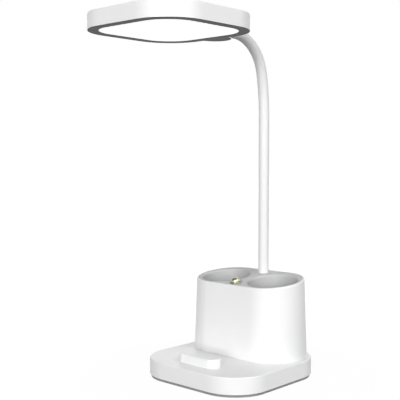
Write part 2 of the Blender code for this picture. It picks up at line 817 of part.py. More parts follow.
def make_holder_insert(carrier, grey_plastic):
    bm = bmesh.new()
    outer = HOLDER_WALL + GAP
    inner = outer + SKIRT_WALL
    add_stack(bm, [
        holder_points(inner, None, DECK_DROP + DECK_THICKNESS),
        holder_points(inner, None, DECK_DROP + SKIRT_DEPTH),
        holder_points(outer, None, DECK_DROP + SKIRT_DEPTH),
        holder_points(outer, None, DECK_DROP + DECK_EDGE),
        holder_points(outer + DECK_EDGE, None, DECK_DROP)])
    insert = piece("holder_insert", bm, grey_plastic, carrier)

    foot = holder_floor_top + GAP
    for x in (-cup_x, cup_x):
        cup = bmesh.new()
        add_stack(cup, [cup_ring(x, cup_floor_r + CUP_WALL - CUP_FILLET, cup_bottom),
                        cup_ring(x, cup_floor_r + CUP_WALL, cup_bottom + CUP_FILLET),
                        cup_ring(x, cup_r + CUP_WALL, None, DECK_DROP + DECK_THICKNESS / 2)])
        shape_with(insert, cup, "UNION")
    posts = bmesh.new()
    for x, y in holder_screw_places():
        add_rod(posts, upright(x, y), BOSS_R, foot, cup_bottom + CUP_FLOOR / 2)
    for place in switch_post_places():
        add_pin_post(posts, place, DECK_THICKNESS / 2, switch_board_top_depth() - GAP,
                     SWITCH_BOARD_THICKNESS + GAP + PIN_END)
    shape_with(insert, posts, "UNION")

    holes = bmesh.new()
    for x in (-cup_x, cup_x):
        add_stack(holes, [cup_ring(x, cup_floor_r - CUP_FILLET, cup_floor_top),
                          cup_ring(x, cup_floor_r, cup_floor_top + CUP_FILLET),
                          cup_ring(x, cup_r, None, DECK_DROP + CUP_LIP),
                          cup_ring(x, cup_r + CUP_LIP, None, DECK_DROP),
                          cup_ring(x, cup_r + CUP_LIP, None, DECK_DROP - OVERRUN)])
    add_rod(holes, upright(0, neck_y), NECK_R + GAP, neck_foot_z - DECK_THICKNESS - OVERRUN,
            neck_foot_z + OVERRUN)
    add_rod(holes, deck_frame(), guide_r() + GAP, -DECK_THICKNESS - OVERRUN, OVERRUN)
    pilot_top = roof_under - GAP + HOLDER_SCREW_LENGTH + PILOT_SPARE
    for x, y in holder_screw_places():
        add_rod(holes, upright(x, y), SCREW_R + GAP, foot - OVERRUN, pilot_top, SCREW_SIDES)
    shape_with(insert, holes, "DIFFERENCE")


def make_holder_screws(carrier, steel):
    put_screws("holder_screw", holder_screw_places(), roof_under - GAP, HOLDER_SCREW_LENGTH,
               steel, carrier)


# Push button: every height is measured along its axis, from the deck

def guide_r():
    """Outside of the button's guide bush, in the deck hole."""
    return BUTTON_R + GAP + GUIDE_WALL


def collar_top_depth():
    """Depth of the cap's collar, which the guide bush keeps from coming out."""
    return DECK_THICKNESS + 2 * GAP


def stem_depth():
    """Depth of the end of the cap's stem."""
    return collar_top_depth() + BUTTON_COLLAR_HEIGHT + BUTTON_STEM


def switch_top_depth():
    """Depth of the tact switch's upper face."""
    return stem_depth() + GAP + PLUNGER_LENGTH - PLUNGER_ENTRY


def switch_board_top_depth():
    """Depth of the switch board's upper face."""
    return switch_top_depth() + SWITCH_HEIGHT + GAP


def make_button_bezel(carrier, brass):
    bm = bmesh.new()
    bore = BUTTON_R + GAP
    flange = guide_r() + GUIDE_FLANGE
    top = GAP + GUIDE_FLANGE_HEIGHT
    low = GAP - collar_top_depth()
    add_turned(bm, deck_frame(), (
        (bore, low), (guide_r(), low), (guide_r(), GAP), (flange, GAP),
        (flange, top - GUIDE_WALL / 2), (flange - GUIDE_WALL / 2, top), (bore, top)))
    piece("button_bezel", bm, brass, carrier)


def make_button_cap(carrier, brass):
    bm = bmesh.new()
    collar = BUTTON_R + BUTTON_COLLAR
    collar_top = -collar_top_depth()
    collar_low = collar_top - BUTTON_COLLAR_HEIGHT
    profile = [(0, -stem_depth()), (BUTTON_STEM_R, -stem_depth()), (BUTTON_STEM_R, collar_low),
               (collar, collar_low), (collar, collar_top), (BUTTON_R, collar_top)]
    for i in range(BUTTON_STEPS + 1):
        angle = math.pi / 2 * i / BUTTON_STEPS
        radius = BUTTON_R * math.cos(angle) if i < BUTTON_STEPS else 0
        profile.append((radius, BUTTON_HEIGHT - BUTTON_DOME * (1 - math.sin(angle))))
    add_turned(bm, deck_frame(), profile)
    piece("button_cap", bm, brass, carrier)


def make_button_plunger(carrier, dark_plastic):
    bm = bmesh.new()
    top = -stem_depth() - GAP
    add_rod(bm, deck_frame(), BUTTON_STEM_R, top - PLUNGER_LENGTH, top, SCREW_SIDES)
    piece("button_plunger", bm, dark_plastic, carrier)


def make_button_switch(carrier, dark_plastic):
    bm = bmesh.new()
    half = SWITCH_SIDE / 2
    top = -switch_top_depth()
    add_block(bm, (-half, -half, top - SWITCH_HEIGHT), (half, half, top), deck_frame())
    switch = piece("button_switch", bm, dark_plastic, carrier)
    well = bmesh.new()
    floor = top - PLUNGER_ENTRY - BUTTON_TRAVEL - GAP
    add_rod(well, deck_frame(), BUTTON_STEM_R + GAP, floor, top + OVERRUN, SCREW_SIDES)
    shape_with(switch, well, "DIFFERENCE")


def make_switch_board(carrier, board_green):
    bm = bmesh.new()
    top = -switch_board_top_depth()
    low = top - SWITCH_BOARD_THICKNESS
    wide = HOLDER_LENGTH * SWITCH_BOARD_SHARE / 2
    narrow = HOLDER_LENGTH * SWITCH_BOARD_REAR_SHARE / 2
    points = ((-wide, -SWITCH_BOARD_FRONT), (wide, -SWITCH_BOARD_FRONT), (wide, -SWITCH_BOARD_WAIST),
              (narrow, SWITCH_BOARD_REAR), (-narrow, SWITCH_BOARD_REAR), (-wide, -SWITCH_BOARD_WAIST))
    add_stack(bm, [level(points, low), level(points, top)])
    bmesh.ops.transform(bm, matrix=deck_frame(), verts=bm.verts)
    board = piece("switch_board", bm, board_green, carrier)
    holes = bmesh.new()
    for place in switch_post_places():
        add_rod(holes, place, PIN_R + GAP, -top - OVERRUN, OVERRUN - low, SCREW_SIDES)
    shape_with(board, holes, "DIFFERENCE")


# Neck mount inside the holder

def make_neck_post(carrier, steel):
    bm = bmesh.new()
    top = neck_foot_z - POST_TOP_BELOW_DECK
    shoulder = holder_floor_top + GAP
    tail = roof_under - WASHER - NUT_HEIGHT - 3 * GAP - POST_TAIL
    add_turned(bm, upright(0, neck_y), (
        (POST_BORE, tail), (POST_R, tail), (POST_R, shoulder), (POST_SHOULDER_R, shoulder),
        (POST_SHOULDER_R, shoulder + POST_SHOULDER), (POST_R, shoulder + POST_SHOULDER),
        (POST_R, top), (POST_BORE, top)))
    piece("neck_post", bm, steel, carrier)


def make_neck_nut(carrier, steel):
    bore = POST_R + GAP
    washer = bmesh.new()
    high = roof_under - GAP
    add_turned(washer, upright(0, neck_y), (
        (bore, high - WASHER), (WASHER_R, high - WASHER), (WASHER_R, high), (bore, high)))
    piece("neck_washer", washer, steel, carrier)
    nut_top = high - WASHER - GAP
    add_nut("neck_nut", upright(0, neck_y), NUT_WIDTH, bore, nut_top - NUT_HEIGHT, nut_top, steel, carrier)


def add_nut(name, place, width, bore, low, high, material, carrier):
    """Hexagon nut with a plain bore."""
    bm = bmesh.new()
    add_rod(bm, place, width / math.sqrt(3), low, high, 6)
    nut = piece(name, bm, material, carrier)
    hole = bmesh.new()
    add_rod(hole, place, bore, low - OVERRUN, high + OVERRUN)
    shape_with(nut, hole, "DIFFERENCE")


def make_lower_ferrule(carrier, steel):
    bm = bmesh.new()
    low = neck_foot_z - POST_TOP_BELOW_DECK + GAP
    spigot = POST_BORE - GAP
    add_turned(bm, upright(0, neck_y), (
        (CORE_BORE, low - FERRULE_SPIGOT), (spigot, low - FERRULE_SPIGOT), (spigot, low),
        (POST_R, low), (POST_R, low + FERRULE), (CORE_BORE, low + FERRULE)))
    piece("neck_ferrule_lower", bm, steel, carrier)


# Flexible neck

def neck_ring(s, radius, lift, sides):
    """Ring round the centreline at length s, moved by lift along its direction there."""
    centre, direction = neck_point(s)
    across = Vector((1, 0, 0))
    upward = direction.cross(across)
    ring = []
    for i in range(sides):
        angle = 2 * math.pi * i / sides
        spoke = across * math.cos(angle) + upward * math.sin(angle)
        ring.append(centre + direction * lift + spoke * radius)
    return ring


def ball_rings(seam, ball, outer, inner, sides):
    """Rings on the ball or in the socket of a seam, from the outer to the inner radius."""
    rings = []
    for i in range(BALL_STEPS + 1):
        radius = outer + (inner - outer) * i / BALL_STEPS
        lift = math.sqrt(ball ** 2 - radius ** 2) - seam_rise
        rings.append(neck_ring(seam_length(seam), radius, lift, sides))
    return rings


def make_neck_length(name, index, outer, inner, ends, sides, material, carrier):
    """One length of the neck: a tube with a socket at its lower seam and a ball at its upper one.

    The first and the last length end flat, at the lengths given in ends.
    """
    start = seam_length(index - 1) if index > 0 else ends[0]
    end = seam_length(index) if index < SEAMS else ends[1]
    turned = neck_point(start)[1].angle(neck_point(end)[1])
    count = max(1, math.ceil(turned / NECK_TURN_PER_STATION))
    stations = [start + (end - start) * i / count for i in range(1, count)]
    if index > 0:
        socket = ball_rings(index - 1, BALL_R + GAP, outer, inner, sides)
    else:
        socket = [neck_ring(start, outer, 0.0, sides), neck_ring(start, inner, 0.0, sides)]
    if index < SEAMS:
        ball = ball_rings(index, BALL_R, outer, inner, sides)
    else:
        ball = [neck_ring(end, outer, 0.0, sides), neck_ring(end, inner, 0.0, sides)]
    outside = [neck_ring(s, outer, 0.0, sides) for s in stations]
    inside = [neck_ring(s, inner, 0.0, sides) for s in reversed(stations)]
    bm = bmesh.new()
    add_pipe(bm, socket[:1] + outside + ball + inside + socket[:0:-1])
    piece(name, bm, material, carrier)


def make_neck(carriers, white_rubber, steel):
    """Sleeve and core lengths, each on the body between two seams."""
    foot = -POST_TOP_BELOW_DECK + 2 * GAP + FERRULE
    sleeve_end = neck_length + NECK_SEAT - GAP
    core_end = sleeve_end - UPPER_FLANGE - GAP
    for index, carrier in enumerate(carriers):
        make_neck_length(f"neck_sleeve_{index}", index, NECK_R, sleeve_bore, (foot, sleeve_end),
                         SLEEVE_SIDES, white_rubber, carrier)
        make_neck_length(f"neck_core_{index}", index, core_r, CORE_BORE, (foot, core_end),
                         CORE_SIDES, steel, carrier)


def make_upper_ferrule(carrier, steel):
    bm = bmesh.new()
    face = seat_y + GAP
    block_front = seat_y - NECK_BLOCK_DEPTH
    nut_rear = block_front - GAP
    end = nut_rear - HUB_NUT_HEIGHT - GAP
    place = rearward(0, neck_end.z)
    add_turned(bm, place, (
        (CORE_BORE, end), (UPPER_SPIGOT_R, end), (UPPER_SPIGOT_R, face), (core_r, face),
        (core_r, face + UPPER_FLANGE), (CORE_BORE, face + UPPER_FLANGE)))
    piece("neck_ferrule_upper", bm, steel, carrier)
    add_nut("hub_nut", place, HUB_NUT_WIDTH, UPPER_SPIGOT_R + GAP, nut_rear - HUB_NUT_HEIGHT,
            nut_rear, steel, carrier)


# Head

def make_head_housing(carrier, white_plastic):
    bm = bmesh.new()
    arcs = lugged(head_half, HEAD_CORNER, head_y)
    inner = outline(arcs, HEAD_WALL)
    rings = [level(inner, head_roof_under), level(inner, housing_bottom),
             level(outline(arcs), housing_bottom)]
    add_stack(bm, rings + fillet_rings(arcs, 0.0, head_top, HEAD_EDGE))
    housing = piece("head_housing", bm, white_plastic, carrier)

    fixings = bmesh.new()
    root = head_roof_under + HEAD_ROOF / 2
    for x, y in bezel_pin_places():
        add_rod(fixings, upright(x, y), BEZEL_BOSS_R, bezel_top + GAP, root, SCREW_SIDES)
    for x, y in light_post_places():
        add_rod(fixings, upright(x, y), PIN_POST_R, light_board_top + GAP, root, SCREW_SIDES)
    for x, y in diffuser_stop_places():
        add_rod(fixings, upright(x, y), DIFFUSER_STOP_R, diffuser_top + GAP, root, SCREW_SIDES)
    half = NECK_BLOCK / 2
    add_block(fixings, (-half, seat_y - NECK_BLOCK_DEPTH, neck_end.z - half), (half, seat_y - GAP, root))
    shape_with(housing, fixings, "UNION")

    holes = bmesh.new()
    for x, y in bezel_pin_places():
        add_rod(holes, upright(x, y), BEZEL_PIN_R + GAP, bezel_top + GAP - OVERRUN,
                bezel_top + BEZEL_PIN + PILOT_SPARE, SCREW_SIDES)
    for x, y in light_post_places():
        add_rod(holes, upright(x, y), PIN_R + GAP, light_board_top + GAP - OVERRUN, head_roof_under,
                SCREW_SIDES)
    bore = UPPER_SPIGOT_R + GAP
    add_turned(holes, rearward(0, neck_end.z), (
        (0, seat_y - NECK_BLOCK_DEPTH - OVERRUN), (bore, seat_y - NECK_BLOCK_DEPTH - OVERRUN),
        (bore, seat_y), (NECK_R + GAP, seat_y), (NECK_R + GAP, neck_end.y + OVERRUN),
        (0, neck_end.y + OVERRUN)))
    shape_with(housing, holes, "DIFFERENCE")


def diffuser_inset():
    """Inset of the diffuser's flange from the head's outline."""
    return BEZEL_RING - DIFFUSER_OVERLAP


def diffuser_stop_places():
    """Studs of the roof that keep the diffuser's flange down."""
    reach = head_half - diffuser_inset() - DIFFUSER_STOP_R
    return [(reach, head_y), (-reach, head_y), (0, head_y + reach), (0, head_y - reach)]


def make_head_bezel(carrier, dark_plastic):
    bm = bmesh.new()
    arcs = lugged(head_half, HEAD_CORNER, head_y)
    rim = outline(arcs)
    inner = outline(arcs, HEAD_WALL + GAP)
    lip_top = head_bottom + BEZEL_LIP
    add_stack(bm, [level(rim, head_bottom), level(rim, lip_top), level(inner, lip_top),
                   level(inner, bezel_top)])
    bezel = piece("head_bezel", bm, dark_plastic, carrier)
    pins = bmesh.new()
    for x, y in bezel_pin_places():
        add_rod(pins, upright(x, y), BEZEL_PIN_R, bezel_top - BEZEL_STEP / 2, bezel_top + BEZEL_PIN,
                SCREW_SIDES)
    shape_with(bezel, pins, "UNION")
    opening = bmesh.new()
    points = outline(rounded(head_half, head_half, HEAD_CORNER, 0.0, head_y), BEZEL_RING)
    add_stack(opening, [level(points, head_bottom - OVERRUN), level(points, bezel_top + OVERRUN)])
    shape_with(bezel, opening, "DIFFERENCE")


def make_diffuser(carrier, milky_plastic):
    bm = bmesh.new()
    arcs = rounded(head_half, head_half, HEAD_CORNER, 0.0, head_y)
    window = outline(arcs, BEZEL_RING + GAP)
    flange = outline(arcs, diffuser_inset())
    flange_low = bezel_top + GAP
    add_stack(bm, [level(window, head_bottom), level(window, flange_low), level(flange, flange_low),
                   level(flange, diffuser_top)])
    piece("diffuser", bm, milky_plastic, carrier)


def make_light_board(carrier, board_white, steel):
    bm = bmesh.new()
    arcs = rounded(head_half, head_half, HEAD_CORNER, 0.0, head_y)
    points = outline(arcs, LIGHT_BOARD_INSET)
    add_stack(bm, [level(points, light_board_under), level(points, light_board_top)])
    board = piece("led_board", bm, board_white, carrier)
    chips = bmesh.new()
    low = light_board_under - CHIP_HEIGHT
    for x, y in chip_places():
        add_block(chips, (x - CHIP_LENGTH / 2, y - CHIP_WIDTH / 2, low),
                  (x + CHIP_LENGTH / 2, y + CHIP_WIDTH / 2, light_board_under + LIGHT_BOARD / 2))
    shape_with(board, chips, "UNION")

    holes = bmesh.new()
    seat = light_board_under - GAP
    for number, (x, y) in enumerate(light_post_places(), 1):
        add_rod(holes, upright(x, y), PIN_R + GAP, light_board_under - OVERRUN,
                light_board_top + OVERRUN, SCREW_SIDES)
        screw = bmesh.new()
        add_small_screw(screw, upright(x, y) @ Matrix.Translation((0, 0, seat)),
                        head_roof_under - GAP - seat)
        piece(f"led_screw_{number}", screw, steel, carrier)
    shape_with(board, holes, "DIFFERENCE")


def chip_places():
    """Grid of light chips, with its corners left out."""
    pitch = HEAD_SIDE * CHIP_PITCH_SHARE
    middle = (CHIP_ROWS - 1) / 2
    places = []
    for row in range(CHIP_ROWS):
        for column in range(CHIP_ROWS):
            if row in (0, CHIP_ROWS - 1) and column in (0, CHIP_ROWS - 1):
                continue
            places.append(((column - middle) * pitch, head_y + (row - middle) * pitch))
    return places


def clear_scene():
    """Start from an empty scene."""
    for thing in list(bpy.data.objects):
        bpy.data.objects.remove(thing, do_unlink=True)


def main():
    clear_scene()
    white_plastic = surface("white_plastic", (0.83, 0.83, 0.83), 0.38)
    white_rubber = surface("white_rubber", (0.82, 0.82, 0.82), 0.55)
    grey_plastic = surface("grey_plastic", (0.60, 0.60, 0.60), 0.45)
    dark_plastic = surface("dark_plastic", (0.10, 0.10, 0.10), 0.50)
    black_rubber = surface("black_rubber", (0.05, 0.05, 0.05), 0.80)
    milky_plastic = surface("milky_plastic", (0.90, 0.90, 0.90), 0.40)
    steel = surface("steel", (0.56, 0.56, 0.57), 0.35, 1.0)
    brass = surface("brass", (0.62, 0.58, 0.42), 0.22, 1.0)
    board_green = surface("board_green", (0.03, 0.16, 0.07), 0.50)
    board_white = surface("board_white", (0.80, 0.80, 0.80), 0.50)
    battery_wrap = surface("battery_wrap", (0.10, 0.22, 0.45), 0.45)

    base = joint_frame("base_frame", Matrix.Identity(4))
    carriers = [base]
    for i in range(SEAMS):
        name = f"neck_joint_{i + 1}"
        carriers.append(joint_frame(name, Matrix.Translation(pivot(i)), carriers[-1]))
    head = carriers[-1]
    button = joint_frame("button_joint", deck_frame(), base)

    make_foot_pad(base, black_rubber)
    make_base_plate(base, dark_plastic)
    make_plate_screws(base, steel)
    make_base_shell(base, white_plastic)
    make_counterweight(base, steel)
    make_battery_pack(base, battery_wrap)
    make_circuit_board(base, board_green)
    make_charge_socket(base, steel)
    make_phone_stop(base, white_plastic, steel)

    make_holder_shell(base, white_plastic)
    make_holder_insert(base, grey_plastic)
    make_holder_screws(base, steel)
    make_button_bezel(base, brass)
    make_button_cap(button, brass)
    make_button_plunger(button, dark_plastic)
    make_button_switch(base, dark_plastic)
    make_switch_board(base, board_green)

    make_neck_post(base, steel)
    make_neck_nut(base, steel)
    make_lower_ferrule(base, steel)
    make_neck(carriers, white_rubber, steel)
    make_upper_ferrule(head, steel)

    make_head_housing(head, white_plastic)
    make_head_bezel(head, dark_plastic)
    make_diffuser(head, milky_plastic)
    make_light_board(head, board_white, steel)


main()
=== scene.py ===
"""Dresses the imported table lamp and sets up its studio.

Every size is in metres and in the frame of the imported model: +Z is up, the front faces -Y and the
origin is the middle of the base on the table.
"""
import json
import math

import bmesh
import bpy
from bpy.props import FloatProperty, FloatVectorProperty, IntProperty, PointerProperty
from mathutils import Matrix, Vector


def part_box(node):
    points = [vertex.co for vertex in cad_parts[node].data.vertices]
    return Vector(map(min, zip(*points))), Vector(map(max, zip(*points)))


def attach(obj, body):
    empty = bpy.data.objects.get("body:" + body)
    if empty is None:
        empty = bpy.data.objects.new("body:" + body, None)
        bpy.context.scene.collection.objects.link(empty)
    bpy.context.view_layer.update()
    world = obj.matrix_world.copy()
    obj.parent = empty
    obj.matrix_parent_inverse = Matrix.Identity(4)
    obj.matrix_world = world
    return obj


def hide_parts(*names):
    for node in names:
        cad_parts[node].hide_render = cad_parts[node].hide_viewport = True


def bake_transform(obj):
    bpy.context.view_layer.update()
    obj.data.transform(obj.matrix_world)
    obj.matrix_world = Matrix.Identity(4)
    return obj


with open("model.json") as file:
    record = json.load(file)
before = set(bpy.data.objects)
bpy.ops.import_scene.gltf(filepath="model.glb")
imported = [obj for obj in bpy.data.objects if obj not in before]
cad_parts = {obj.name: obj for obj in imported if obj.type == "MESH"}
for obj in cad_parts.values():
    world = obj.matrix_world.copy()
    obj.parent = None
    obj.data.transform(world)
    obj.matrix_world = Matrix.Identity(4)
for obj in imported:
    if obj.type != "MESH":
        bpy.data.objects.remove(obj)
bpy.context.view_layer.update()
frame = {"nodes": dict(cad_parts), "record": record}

bl_info = {
    "name": "Table lamp dressing",
    "version": (1, 0, 0),
    "blender": (4, 5, 0),
    "location": "View3D > Sidebar > Lamp",
    "description": "Housings, pen holder, flexible neck and finishes of a table lamp",
    "category": "Object",
}

UP = Vector((0, 0, 1))
QUARTER = math.pi / 2
# Edges flatter than the first angle are shaded smooth, edges steeper than the second are rounded
SMOOTH_ANGLE = math.radians(32)
SHARP_ANGLE = math.radians(50)
# Points closer than this are one point
WELD = 0.000002
# Joints of the neck, each under a length of sleeve of its own
SEAMS = 8
# How much a large face outweighs its neighbours in shading, from 1 to 100
FACE_WEIGHT = 80
# Width of the camera's film, in mm
FILM = 36.0
WHITE_LIGHT = (1.0, 1.0, 1.0, 1.0)


# Properties

def length(name, description, default):
    """A length in metres."""
    return FloatProperty(name=name, description=description, default=default, precision=5,
                         unit="LENGTH")


def share(name, description, default):
    """A share of another size, or a strength."""
    return FloatProperty(name=name, description=description, default=default, precision=4,
                         subtype="FACTOR")


def count(name, description, default):
    """A number of steps or of like pieces."""
    return IntProperty(name=name, description=description, default=default, min=1)


def tilt(name, description, degrees):
    """An angle, given in degrees."""
    return FloatProperty(name=name, description=description, default=math.radians(degrees),
                         subtype="ANGLE", unit="ROTATION")


def colour(name, description, default):
    """A linear colour."""
    return FloatVectorProperty(name=name, description=description, default=default, size=3,
                               min=0.0, max=1.0, subtype="COLOR")


class LampFits(bpy.types.PropertyGroup):
    """Steps and clearances of all pieces."""
    gap: length("Gap", "Clearance between two pieces", 0.0003)
    crisp: length("Crisp edge", "Rounding of an edge that looks sharp", 0.00015)
    crisp_steps: count("Crisp steps", "Steps across a crisp edge of base or port", 2)
    fine_steps: count("Fine steps", "Steps across a crisp edge of head or holder", 3)
    edge_steps: count("Edge steps", "Steps across a rounded edge", 5)
    rim_steps: count("Rim steps", "Steps across the rounded edge of the holder's rim", 7)
    corner_steps: count("Corner steps", "Steps in a quarter of a corner", 20)
    arc_steps: count("Arc steps", "Least number of steps in an arc", 3)
    round_steps: count("Round steps", "Steps round a cup or a button", 96)
    bore_steps: count("Bore steps", "Steps round a bore of the deck", 48)
    neck_steps: count("Neck steps", "Steps round the neck's sleeve", 48)
    seat_steps: count("Seat steps", "Steps round the neck's seat in the head", 64)
    dome_steps: count("Dome steps", "Steps from the foot to the top of the button's dome", 12)


class BaseSizes(bpy.types.PropertyGroup):
    """Base and phone stop."""
    side: length("Side", "Width and depth of the base", 0.1389)
    corner: length("Corner", "Corner radius of the base", 0.0386)
    height: length("Height", "Top of the base above the table", 0.0190)
    bottom: length("Bottom", "Lower edge of the white wall", 0.0028)
    edge: length("Edge", "Rounding of the upper edge", 0.0011)
    wall: length("Wall", "Thickness of wall and roof", 0.0024)
    pad_inset: length("Pad inset", "Distance of the pad from the outline", 0.0014)
    pad: length("Pad", "Thickness of the anti-slip pad", 0.0010)
    stop_length: length("Stop length", "Length of the phone stop", 0.0490)
    stop_depth: length("Stop depth", "Depth of the phone stop", 0.0172)
    stop_height: length("Stop height", "Height of the phone stop", 0.0088)
    stop_corner: length("Stop corner", "Radius of the phone stop's round ends", 0.0084)
    stop_edge: length("Stop edge", "Rounding of its upper edge", 0.0022)
    stop_y: length("Stop place", "Middle of the phone stop along Y", -0.0458)


class PortSizes(bpy.types.PropertyGroup):
    """Charging port in the base's rear wall. Its mouth and depth are those of the CAD node."""
    wall: length("Wall", "Thickness of the metal shell", 0.0003)
    corner: share("Corner", "Corner radius for half the port's height", 0.99)
    hollow: share("Hollow", "Depth of the hollow for the port's depth", 0.84)
    tongue_width: length("Tongue width", "Width of the tongue", 0.0067)
    tongue: length("Tongue", "Thickness of the tongue", 0.0007)
    tongue_edge: length("Tongue edge", "Rounding of the tongue's edges", 0.0001)
    tongue_length: share("Tongue length", "Length of the tongue for the port's depth", 0.68)
    tongue_inset: length("Tongue inset", "How far the tongue is sunk into the hollow's floor", 0.0004)
    contacts: count("Contacts", "Number of contacts on each side of the tongue", 12)
    pitch: length("Pitch", "Distance between two contacts", 0.0005)
    contact_width: length("Contact width", "Width of a contact", 0.00026)
    contact: length("Contact", "Thickness of a contact", 0.00004)
    contact_length: length("Contact length", "Length of a contact", 0.0028)
    contact_height: length("Contact height", "Distance of a contact from the tongue's middle", 0.00036)
    contact_depth: length("Contact depth", "Distance of its middle from the port's mouth", 0.0031)


class HolderSizes(bpy.types.PropertyGroup):
    """Pen holder, its insert and the push button."""
    width: length("Width", "Width of the holder at its foot", 0.1298)
    depth: length("Depth", "Depth of the holder at its foot", 0.0732)
    foot: length("Foot", "Underside of the holder", 0.0193)
    seat: length("Seat", "How far the visible wall reaches down below it", 0.00018)
    height: length("Height", "Height of the rim at the middle", 0.0773)
    place: length("Place", "Middle of the holder along Y", 0.03015)
    wall: length("Wall", "Width of the rim", 0.00195)
    edge: length("Edge", "Rounding of the rim's outer edge", 0.0016)
    inner_edge: length("Inner edge", "Rounding of the rim's inner edge", 0.00025)
    floor: length("Floor", "Thickness of the floor", 0.0024)
    taper: share("Taper", "How far the wall leans in for its height", 0.033)
    slope: share("Slope", "How far the rim rises to the back for its depth", 0.128)
    spare: share("Spare", "Height that the wall is drawn to before the rim is cut", 1.2)
    deck_drop: length("Deck drop", "Depth of the deck below the rim", 0.0005)
    deck_edge: length("Deck edge", "Rounding of the deck's outer edge", 0.0004)
    deck: length("Deck", "Thickness of deck and cups", 0.0016)
    skirt: length("Skirt", "Depth of the insert's skirt", 0.008)
    cup_x: length("Cup place", "Distance of a cup from the middle", 0.031)
    cup_y: length("Cup line", "Middle of the cups along Y", 0.0293)
    cup_radius: length("Cup radius", "Inner radius of a cup at its top", 0.0254)
    cup_floor_radius: length("Cup floor radius", "Inner radius of a cup at its floor", 0.025)
    cup_lip: length("Cup lip", "Rounding of a cup's mouth", 0.0024)
    cup_fillet: length("Cup fillet", "Rounding at a cup's floor", 0.0022)
    cup_floor: length("Cup floor", "Height of a cup's floor", 0.0304)


class ButtonSizes(bpy.types.PropertyGroup):
    """Push button on the deck."""
    place: length("Place", "Middle of the button along Y", 0.0078)
    radius: length("Radius", "Radius of the cap", 0.0048)
    height: length("Height", "Height of the cap above the deck", 0.0054)
    dome: length("Dome", "Height of the cap's dome", 0.0036)
    collar: length("Collar", "Extra radius of the hidden collar", 0.0007)
    collar_height: length("Collar height", "Height of the hidden collar", 0.0010)
    collar_depth: length("Collar depth", "Depth of the collar below the deck", 0.0028)
    bush: length("Bush", "Wall of the guide bush", 0.0005)
    edge: share("Edge", "Rounding of the bezel for the bush's wall", 0.7)
    edge_steps: count("Edge steps", "Steps across that rounding", 4)
    flange: length("Flange", "Extra radius of the bezel's flange", 0.0006)
    flange_height: length("Flange height", "Height of the bezel above the deck", 0.0011)


class NeckSizes(bpy.types.PropertyGroup):
    """Centreline of the flexible neck."""
    radius: length("Radius", "Outer radius of the sleeve", 0.00545)
    place: length("Place", "Middle of the neck along Y", 0.0534)
    straight: length("Straight", "Upright length above the deck", 0.164265)
    lean_radius: length("Lean radius", "Radius of the slight lean", 0.2417)
    lean: tilt("Lean", "Lean before the tight bend", 10.9)
    bend_radius: length("Bend radius", "Radius of the tight bend", 0.04535)
    run: length("Run", "Level length behind the head", 0.0128)
    buried: length("Buried", "Sleeve below the deck", 0.0058)
    seated: length("Seated", "Sleeve inside the head", 0.0011)
    ring: length("Ring spacing", "Distance between two rings of points of the sleeve", 0.0013)


class HeadSizes(bpy.types.PropertyGroup):
    """Lamp head."""
    side: length("Side", "Width and depth of the head", 0.1288)
    corner: length("Corner", "Corner radius of the head", 0.0399)
    height: length("Height", "Height of the head", 0.0155)
    edge: length("Edge", "Rounding of the upper edge", 0.0011)
    wall: length("Wall", "Thickness of wall and roof", 0.0020)
    axis: length("Axis", "Height of the neck's axis above the underside", 0.0091)
    lug: length("Lug", "Radius of the round lug for the neck", 0.0152)
    lug_fillet: length("Lug fillet", "Rounding beside the lug", 0.0030)
    seat: length("Seat", "Depth of the neck's seat", 0.0015)
    seat_reach: length("Seat reach", "How far the seat's cutter reaches out of the lug", 0.008)
    ring: length("Ring", "Width of the dark ring", 0.01007)
    lip: length("Lip", "Thickness of the dark ring", 0.0003)
    joint: length("Joint", "Gap between the ring and the white wall", 0.00005)
    recess: length("Recess", "Depth of the diffuser above the ring's underside", 0.0003)
    window: length("Window", "Thickness of the diffuser", 0.0026)


class StageSizes(bpy.types.PropertyGroup):
    """Camera, lights and white surroundings."""
    view: tilt("View", "Direction of the camera, from the front to the right", 42.882)
    pitch: tilt("Pitch", "How far the camera looks down", 3.072)
    camera: FloatVectorProperty(name="Camera", description="Place of the camera", size=3,
                                default=(0.5181, -0.6038, 0.2208), subtype="XYZ", unit="LENGTH")
    lens: FloatProperty(name="Lens", description="Focal length, in mm", default=70.84)
    clip: length("Clip", "Distance from which the camera sees", 0.01)
    distance: length("Lamp distance", "Distance of the lamps from the object", 3.0)
    lamp_size: length("Lamp size", "Diameter of the lamps", 1.5)
    aim: length("Aim", "Height that the lamps point at", 0.15)
    beside: share("Soft beside", "Strength of the soft light from either side", 0.21)
    ahead: share("Soft ahead", "Strength of the soft light from the front and the back", 0.78)
    ceiling: share("Ceiling", "Brightness of the ceiling in reflections", 0.25)
    ceiling_place: FloatVectorProperty(name="Ceiling place", description="Direction of its middle",
                                       size=3, default=(-0.35, -0.32, 0.88), subtype="DIRECTION")
    ceiling_low: share("Ceiling starts", "Nearness to its middle at which the ceiling starts", 0.45)
    ceiling_high: share("Ceiling ends", "Nearness at which the ceiling is full", 0.80)
    floor: length("Floor", "Half the width of the floor", 6.0)
    floor_drop: length("Floor drop", "Depth of the floor below the pad", 0.0002)
    white: share("White", "Strength of the white floor as seen", 1.11)
    clear: share("Clear", "How far shadows on the floor are cleared", 0.88)
    near: length("Shadow radius", "Distance at which the floor starts to turn white", 0.14)
    far: length("White radius", "Distance at which the floor is white", 0.30)


